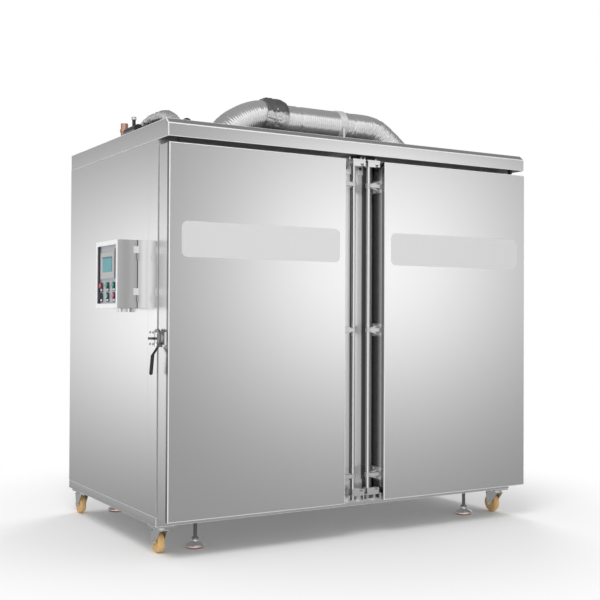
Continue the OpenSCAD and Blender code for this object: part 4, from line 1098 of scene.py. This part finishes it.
class CHILLER_OT_ducts(bpy.types.Operator):
    """Foil ducts with their ribs, creases, taped sleeve, clamp band and spigots"""

    bl_idname = "chiller.ducts"
    bl_label = "Ducts"

    LEFT_ROUTE = ((0.032, 0), (0.100, -25), (0.030, 0), (0.200, -30), (0.025, 0))
    MAIN_ROUTE = ((0.520, 0), (0.1326, -38), (0.130, 0))
    SIDE_ROUTE = ((0.100, 0), (0.1885, -45), (0.100, 0), (0.1885, -45), (0.100, 0))
    # A length past every route's end
    WHOLE_ROUTE = 9
    LEFT_RISE, SIDE_RISE = 55, 45
    MAIN_D, SIDE_D = 0.150, 0.092
    LEFT_OVER_ROOF, MAIN_OVER_ROOF, SIDE_BELOW_ROOF = 0.119, 0.099, 0.045
    # Creases: length along the duct, spread and depth
    MAIN_CREASES = ((0.10, 0.010, 0.004), (0.42, 0.020, 0.005), (0.60, 0.090, 0.005))
    LEFT_CREASES = ((0.085, 0.006, 0.004), (0.30, 0.050, 0.004))
    SIDE_CREASES = ((0.40, 0.22, 0.006),)
    WALL, RIB_STEPS, CALM_CREASE, CREASE_SCALE = 0.0085, 6, 0.0008, 38
    # Sleeve over the gap between the two lengths: share of its length, drop below the left duct, radius
    SLEEVE_GAP, SLEEVE_LENGTH, SLEEVE_OVER, SLEEVE_BORE = 0.015, 0.126, 0.013, 0.0758
    SLEEVE_STATIONS = (
        (0.0, 0.006, 0.0820), (0.2, -0.001, 0.0854), (0.74, 0.008, 0.0894), (0.97, 0.014, 0.0850),
        (1.0, 0.016, 0.0800),
    )
    SLEEVE_SIDES, SLEEVE_STEPS = 96, 60
    BAND_ALONG = 0.331

    def execute(self, context):
        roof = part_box("roof_cap")[1].z
        main_low, main_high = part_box("main_duct")
        middle = (main_low.y + main_high.y) / 2
        main_start = Vector((main_low.x, roof + self.MAIN_OVER_ROOF))
        self.hose("main_duct", duct_foil(), self.MAIN_ROUTE, main_start, 0, X, middle, self.MAIN_D,
                  self.MAIN_CREASES)
        left_end = Vector((main_start.x - self.SLEEVE_GAP, roof + self.LEFT_OVER_ROOF))
        start = left_end - self.end_of(self.LEFT_ROUTE, self.LEFT_RISE)
        self.hose("left_duct", duct_foil(), self.LEFT_ROUTE, start, self.LEFT_RISE, X, middle, self.MAIN_D,
                  self.LEFT_CREASES)
        self.sleeve(main_start, left_end, middle)
        low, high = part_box("side_duct")
        reach = self.end_of(self.SIDE_ROUTE, self.SIDE_RISE).x
        start = Vector(((low.y + high.y - reach) / 2, roof - self.SIDE_BELOW_ROOF))
        self.hose("side_duct", side_foil(), self.SIDE_ROUTE, start, self.SIDE_RISE, Y, (low.x + high.x) / 2,
                  self.SIDE_D, self.SIDE_CREASES)
        self.band(main_start, middle)
        softened("roof_spigots", zinc_plate(), SHEET_ROUND)
        return {"FINISHED"}

    def end_of(self, route, rise):
        """Where a route that starts at the origin ends."""
        return along(route, self.WHOLE_ROUTE, Vector((0, 0)), math.radians(rise))[0]

    def hose(self, name, material, route, start, first, ahead, offset, d, creases):
        """Ribbed foil hose with its bore, along a route that lies in a plane at an offset."""
        side = Y if ahead == X else X
        length = sum(leg[0] for leg in route)
        steps = round(length / sizes().rib_pitch) * self.RIB_STEPS
        count = sizes().duct_sides
        outer, inner = [], []
        for i in range(steps + 1):
            s = length * i / steps
            point, turn = along(route, s, start, math.radians(first))
            centre = ahead * point.x + Z * point.y + side * offset
            up = Z * math.cos(turn) - ahead * math.sin(turn)
            rib = sizes().rib_depth * (0.5 + 0.5 * math.cos(2 * math.pi * i / self.RIB_STEPS))
            folds = sum(deep * math.exp(-((s - at) / wide) ** 2) for at, wide, deep in creases)
            depth = self.CALM_CREASE + folds
            ring = []
            for out in spokes(up, side, count):
                dent = depth * crumple(centre + out * d / 2, self.CREASE_SCALE)
                ring.append(centre + out * (d / 2 - rib - dent))
            outer.append(ring)
            if i % self.RIB_STEPS == 0:
                inner.append([centre + out * (d / 2 - self.WALL) for out in spokes(up, side, count)])
        form = bmesh.new()
        loft(form, outer + inner[::-1], hollow=True)
        piece(name + "_foil", form, material, "cabinet", [name], 50, False)

    def sleeve(self, main_start, left_end, middle):
        """Crumpled taped sleeve round the joint of the two duct lengths, calmer towards its right."""
        x0 = main_start.x + self.SLEEVE_OVER - self.SLEEVE_LENGTH
        outer, inner = [], []
        for i in range(self.SLEEVE_STEPS + 1):
            t = i / self.SLEEVE_STEPS
            drop, swell = between(self.SLEEVE_STATIONS, t)
            centre = Vector((x0 + self.SLEEVE_LENGTH * t, middle, left_end.y - drop))
            calm = 1 - 0.75 * max(0.0, min(1.0, (t - 0.55) / 0.25))
            ring = []
            for out in spokes(Z, Y, self.SLEEVE_SIDES):
                spot = centre + out * swell
                fold = (0.006 * crumple(spot + Vector((3, 0, 1)), 28) + 0.003 * crumple(spot, 80)) * calm
                ring.append(centre + out * (swell - fold))
            outer.append(ring)
        for x, drop in ((x0 + self.SLEEVE_LENGTH, 0.020), (x0, 0.0085)):
            centre = Vector((x, middle, left_end.y - drop))
            inner.append([centre + out * self.SLEEVE_BORE for out in spokes(Z, Y, self.SLEEVE_SIDES)])
        form = bmesh.new()
        loft(form, outer + inner, hollow=True)
        piece("taped_sleeve", form, foil_tape(), "cabinet", (), 60, False)

    def band(self, main_start, middle):
        """Clamp band round the main duct with its hanging tail and screw."""
        half, r = sizes().band_width / 2, self.MAIN_D / 2
        x = main_start.x + self.BAND_ALONG + half
        inside, low, ridge = r - 0.003, r + 0.0034, r + 0.0046
        form = bmesh.new()
        revolve(form, [(inside, -half), (low, -half), (ridge, -half + 0.003), (low, 0),
                       (ridge, half - 0.003), (low, half), (inside, half), (inside, -half)],
                (x, middle, main_start.y), X, 72)
        block(form, (x - 0.014, middle - r - 0.0064, main_start.y - r + 0.002),
              (x - 0.002, middle - r - 0.0034, main_start.y - 0.006), 0.001)
        revolve(form, [(0, 0), (0.006, 0), (0.006, 0.006), (0, 0.006)],
                (x - 0.008, middle - r - 0.0090, main_start.y - 0.014), Y, 16)
        piece("clamp_band", form, band_steel(), "cabinet", (), 40)


# Valves and pipes on the roof

class CHILLER_OT_valves(bpy.types.Operator):
    """Inlet valve, relief dome and copper pipework"""

    bl_idname = "chiller.valves"
    bl_label = "Roof valves"

    VALVE_IN, CAP_HEIGHT = 0.023, 0.0142

    def execute(self, context):
        softened("roof_valves", black_lacquer(), LEVER_ROUND)
        softened("spray_manifold", copper(), PANEL_ROUND)
        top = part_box("roof_valves")[1].z
        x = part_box("spray_manifold")[0].x + self.VALVE_IN
        verts = frame["nodes"]["roof_valves"].data.vertices
        y = next(vert.co.y for vert in verts if vert.co.z > top - 1e-4)
        form = bmesh.new()
        revolve(form, [(0, 0), (0.0122, 0), (0.0126, 0.001), (0.0126, 0.0120), (0.0115, 0.0143),
                       (0.004, 0.0145), (0, 0.0145)], (x, y, top - self.CAP_HEIGHT), Z, 32)
        piece("valve_cap", form, bright_steel(), "cabinet")
        return {"FINISHED"}


# Circulation

class CHILLER_OT_circulation(bpy.types.Operator):
    """Fan, motor and baffle behind the chamber"""

    bl_idname = "chiller.circulation"
    bl_label = "Circulation"

    BAFFLE_ROUND, MOTOR_ROUND = 0.0005, 0.002

    def execute(self, context):
        softened("fan_baffle", inner_steel(), self.BAFFLE_ROUND)
        softened("fan_motor", motor_grey(), self.MOTOR_ROUND)
        softened("fan_rotor", zinc_plate(), SHEET_ROUND)
        return {"FINISHED"}


# Casters and feet

class CHILLER_OT_casters(bpy.types.Operator):
    """Forks, cream wheels and brake pedals"""

    bl_idname = "chiller.casters"
    bl_label = "Casters"

    AXLE_RADIUS, SHOULDER = 0.0051, 0.011

    def execute(self, context):
        for corner in CORNERS:
            softened(corner + "_fork", zinc_plate(), LEVER_ROUND)
            softened(corner + "_pedal", black_lacquer(), LEVER_ROUND)
            self.wheel(corner)
        return {"FINISHED"}

    def wheel(self, corner):
        """Moulded tread with rounded shoulders on a narrower hub."""
        node = corner + "_wheel"
        low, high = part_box(node)
        r, half, shoulder = (high.z - low.z) / 2, (high.x - low.x) / 2, self.SHOULDER
        tread = half - 0.001
        profile = [(self.AXLE_RADIUS, -half), (0.014, -half), (0.0155, -half + 0.005),
                   (0.030, -half + 0.0065), (r - 0.015, -half + 0.0055), (r - 0.012, -tread)]
        for step in range(9):
            w = math.radians(-90 + 90 * step / 8)
            profile.append((r - shoulder + shoulder * math.cos(w),
                            -tread + shoulder + shoulder * math.sin(w)))
        profile += [(radius, -place) for radius, place in profile[::-1]]
        profile.append(profile[0])
        form = bmesh.new()
        revolve(form, profile, centre_of(node), X, 72)
        bmesh.ops.remove_doubles(form, verts=form.verts, dist=1e-6)
        piece(corner + "_tread", form, cream_tread(), body_of(node), [node])


class CHILLER_OT_feet(bpy.types.Operator):
    """Levelling feet: threaded stem, collar, chrome bell and pad"""

    bl_idname = "chiller.feet"
    bl_label = "Levelling feet"

    THREAD_FOOT, THREAD_PITCH, CREST, ROOT, STEM_END = 0.054, 0.0025, 0.0098, 0.0086, 0.0005

    def execute(self, context):
        for corner in CORNERS:
            node = corner + "_foot"
            low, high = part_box(node)
            at = Vector(((low.x + high.x) / 2, (low.y + high.y) / 2, low.z))
            self.pad_and_bell(node, at, (high.x - low.x) / 2)
            self.stem(node, at, high.z - low.z)
        return {"FINISHED"}

    def pad_and_bell(self, node, at, r):
        """Red-brown pad under a chrome bell."""
        form = bmesh.new()
        revolve(form, [(0, 0.0005), (r - 0.006, 0), (r - 0.0045, 0.0012), (r - 0.0045, 0.006), (0, 0.006)],
                at, Z, 64)
        piece(node + "_pad", form, foot_pad(), body_of(node))
        form = bmesh.new()
        revolve(form, [(0, 0.0062), (r - 0.002, 0.0062), (r, 0.009), (r, 0.013), (r - 0.003, 0.0175),
                       (r * 0.80, 0.0215), (r * 0.62, 0.026), (r * 0.46, 0.0305), (r * 0.385, 0.0335),
                       (r * 0.36, 0.036), (r * 0.36, 0.040), (0, 0.040)], at, Z, 72)
        piece(node + "_bell", form, bright_steel(), body_of(node), [node])

    def stem(self, node, at, length):
        """Collar and threaded stem above the bell."""
        profile = [(0, 0.0395), (0.0165, 0.0395), (0.0172, 0.042), (0.0172, 0.048), (0.0150, 0.051),
                   (0.0105, 0.053)]
        z = self.THREAD_FOOT
        while z < length - self.THREAD_PITCH:
            profile += [(self.CREST, z), (self.ROOT, z + self.THREAD_PITCH / 2)]
            z += self.THREAD_PITCH
        profile += [(0.0090, length - self.STEM_END), (0, length - self.STEM_END)]
        form = bmesh.new()
        revolve(form, profile, at, Z, 32)
        piece(node + "_stem", form, dark_zinc(), body_of(node))


# Add-on registration

OPERATORS = (
    CHILLER_OT_stage, CHILLER_OT_cabinet, CHILLER_OT_doors, CHILLER_OT_hinges, CHILLER_OT_latches,
    CHILLER_OT_control_box, CHILLER_OT_devices, CHILLER_OT_ducts, CHILLER_OT_valves,
    CHILLER_OT_circulation, CHILLER_OT_casters, CHILLER_OT_feet,
)


class CHILLER_PT_sidebar(bpy.types.Panel):
    """Lists the chiller's operators"""

    bl_label = "Blast chiller"
    bl_idname = "CHILLER_PT_sidebar"
    bl_space_type = "VIEW_3D"
    bl_region_type = "UI"
    bl_category = "Chiller"

    def draw(self, context):
        for operator in OPERATORS:
            self.layout.operator(operator.bl_idname)
        for group in (context.scene.chiller_sizes, context.scene.chiller_colours):
            for name in group.bl_rna.properties.keys():
                if name not in ("rna_type", "name"):
                    self.layout.prop(group, name)


CLASSES = (ChillerColours, ChillerSizes, *OPERATORS, CHILLER_PT_sidebar)


def register():
    for item in CLASSES:
        bpy.utils.register_class(item)
    bpy.types.Scene.chiller_colours = PointerProperty(type=ChillerColours)
    bpy.types.Scene.chiller_sizes = PointerProperty(type=ChillerSizes)


def unregister():
    del bpy.types.Scene.chiller_sizes
    del bpy.types.Scene.chiller_colours
    for item in reversed(CLASSES):
        bpy.utils.unregister_class(item)


def main():
    register()
    for operator in OPERATORS:
        group, name = operator.bl_idname.split(".")
        getattr(getattr(bpy.ops, group), name)()


if __name__ == "__main__":
    main()
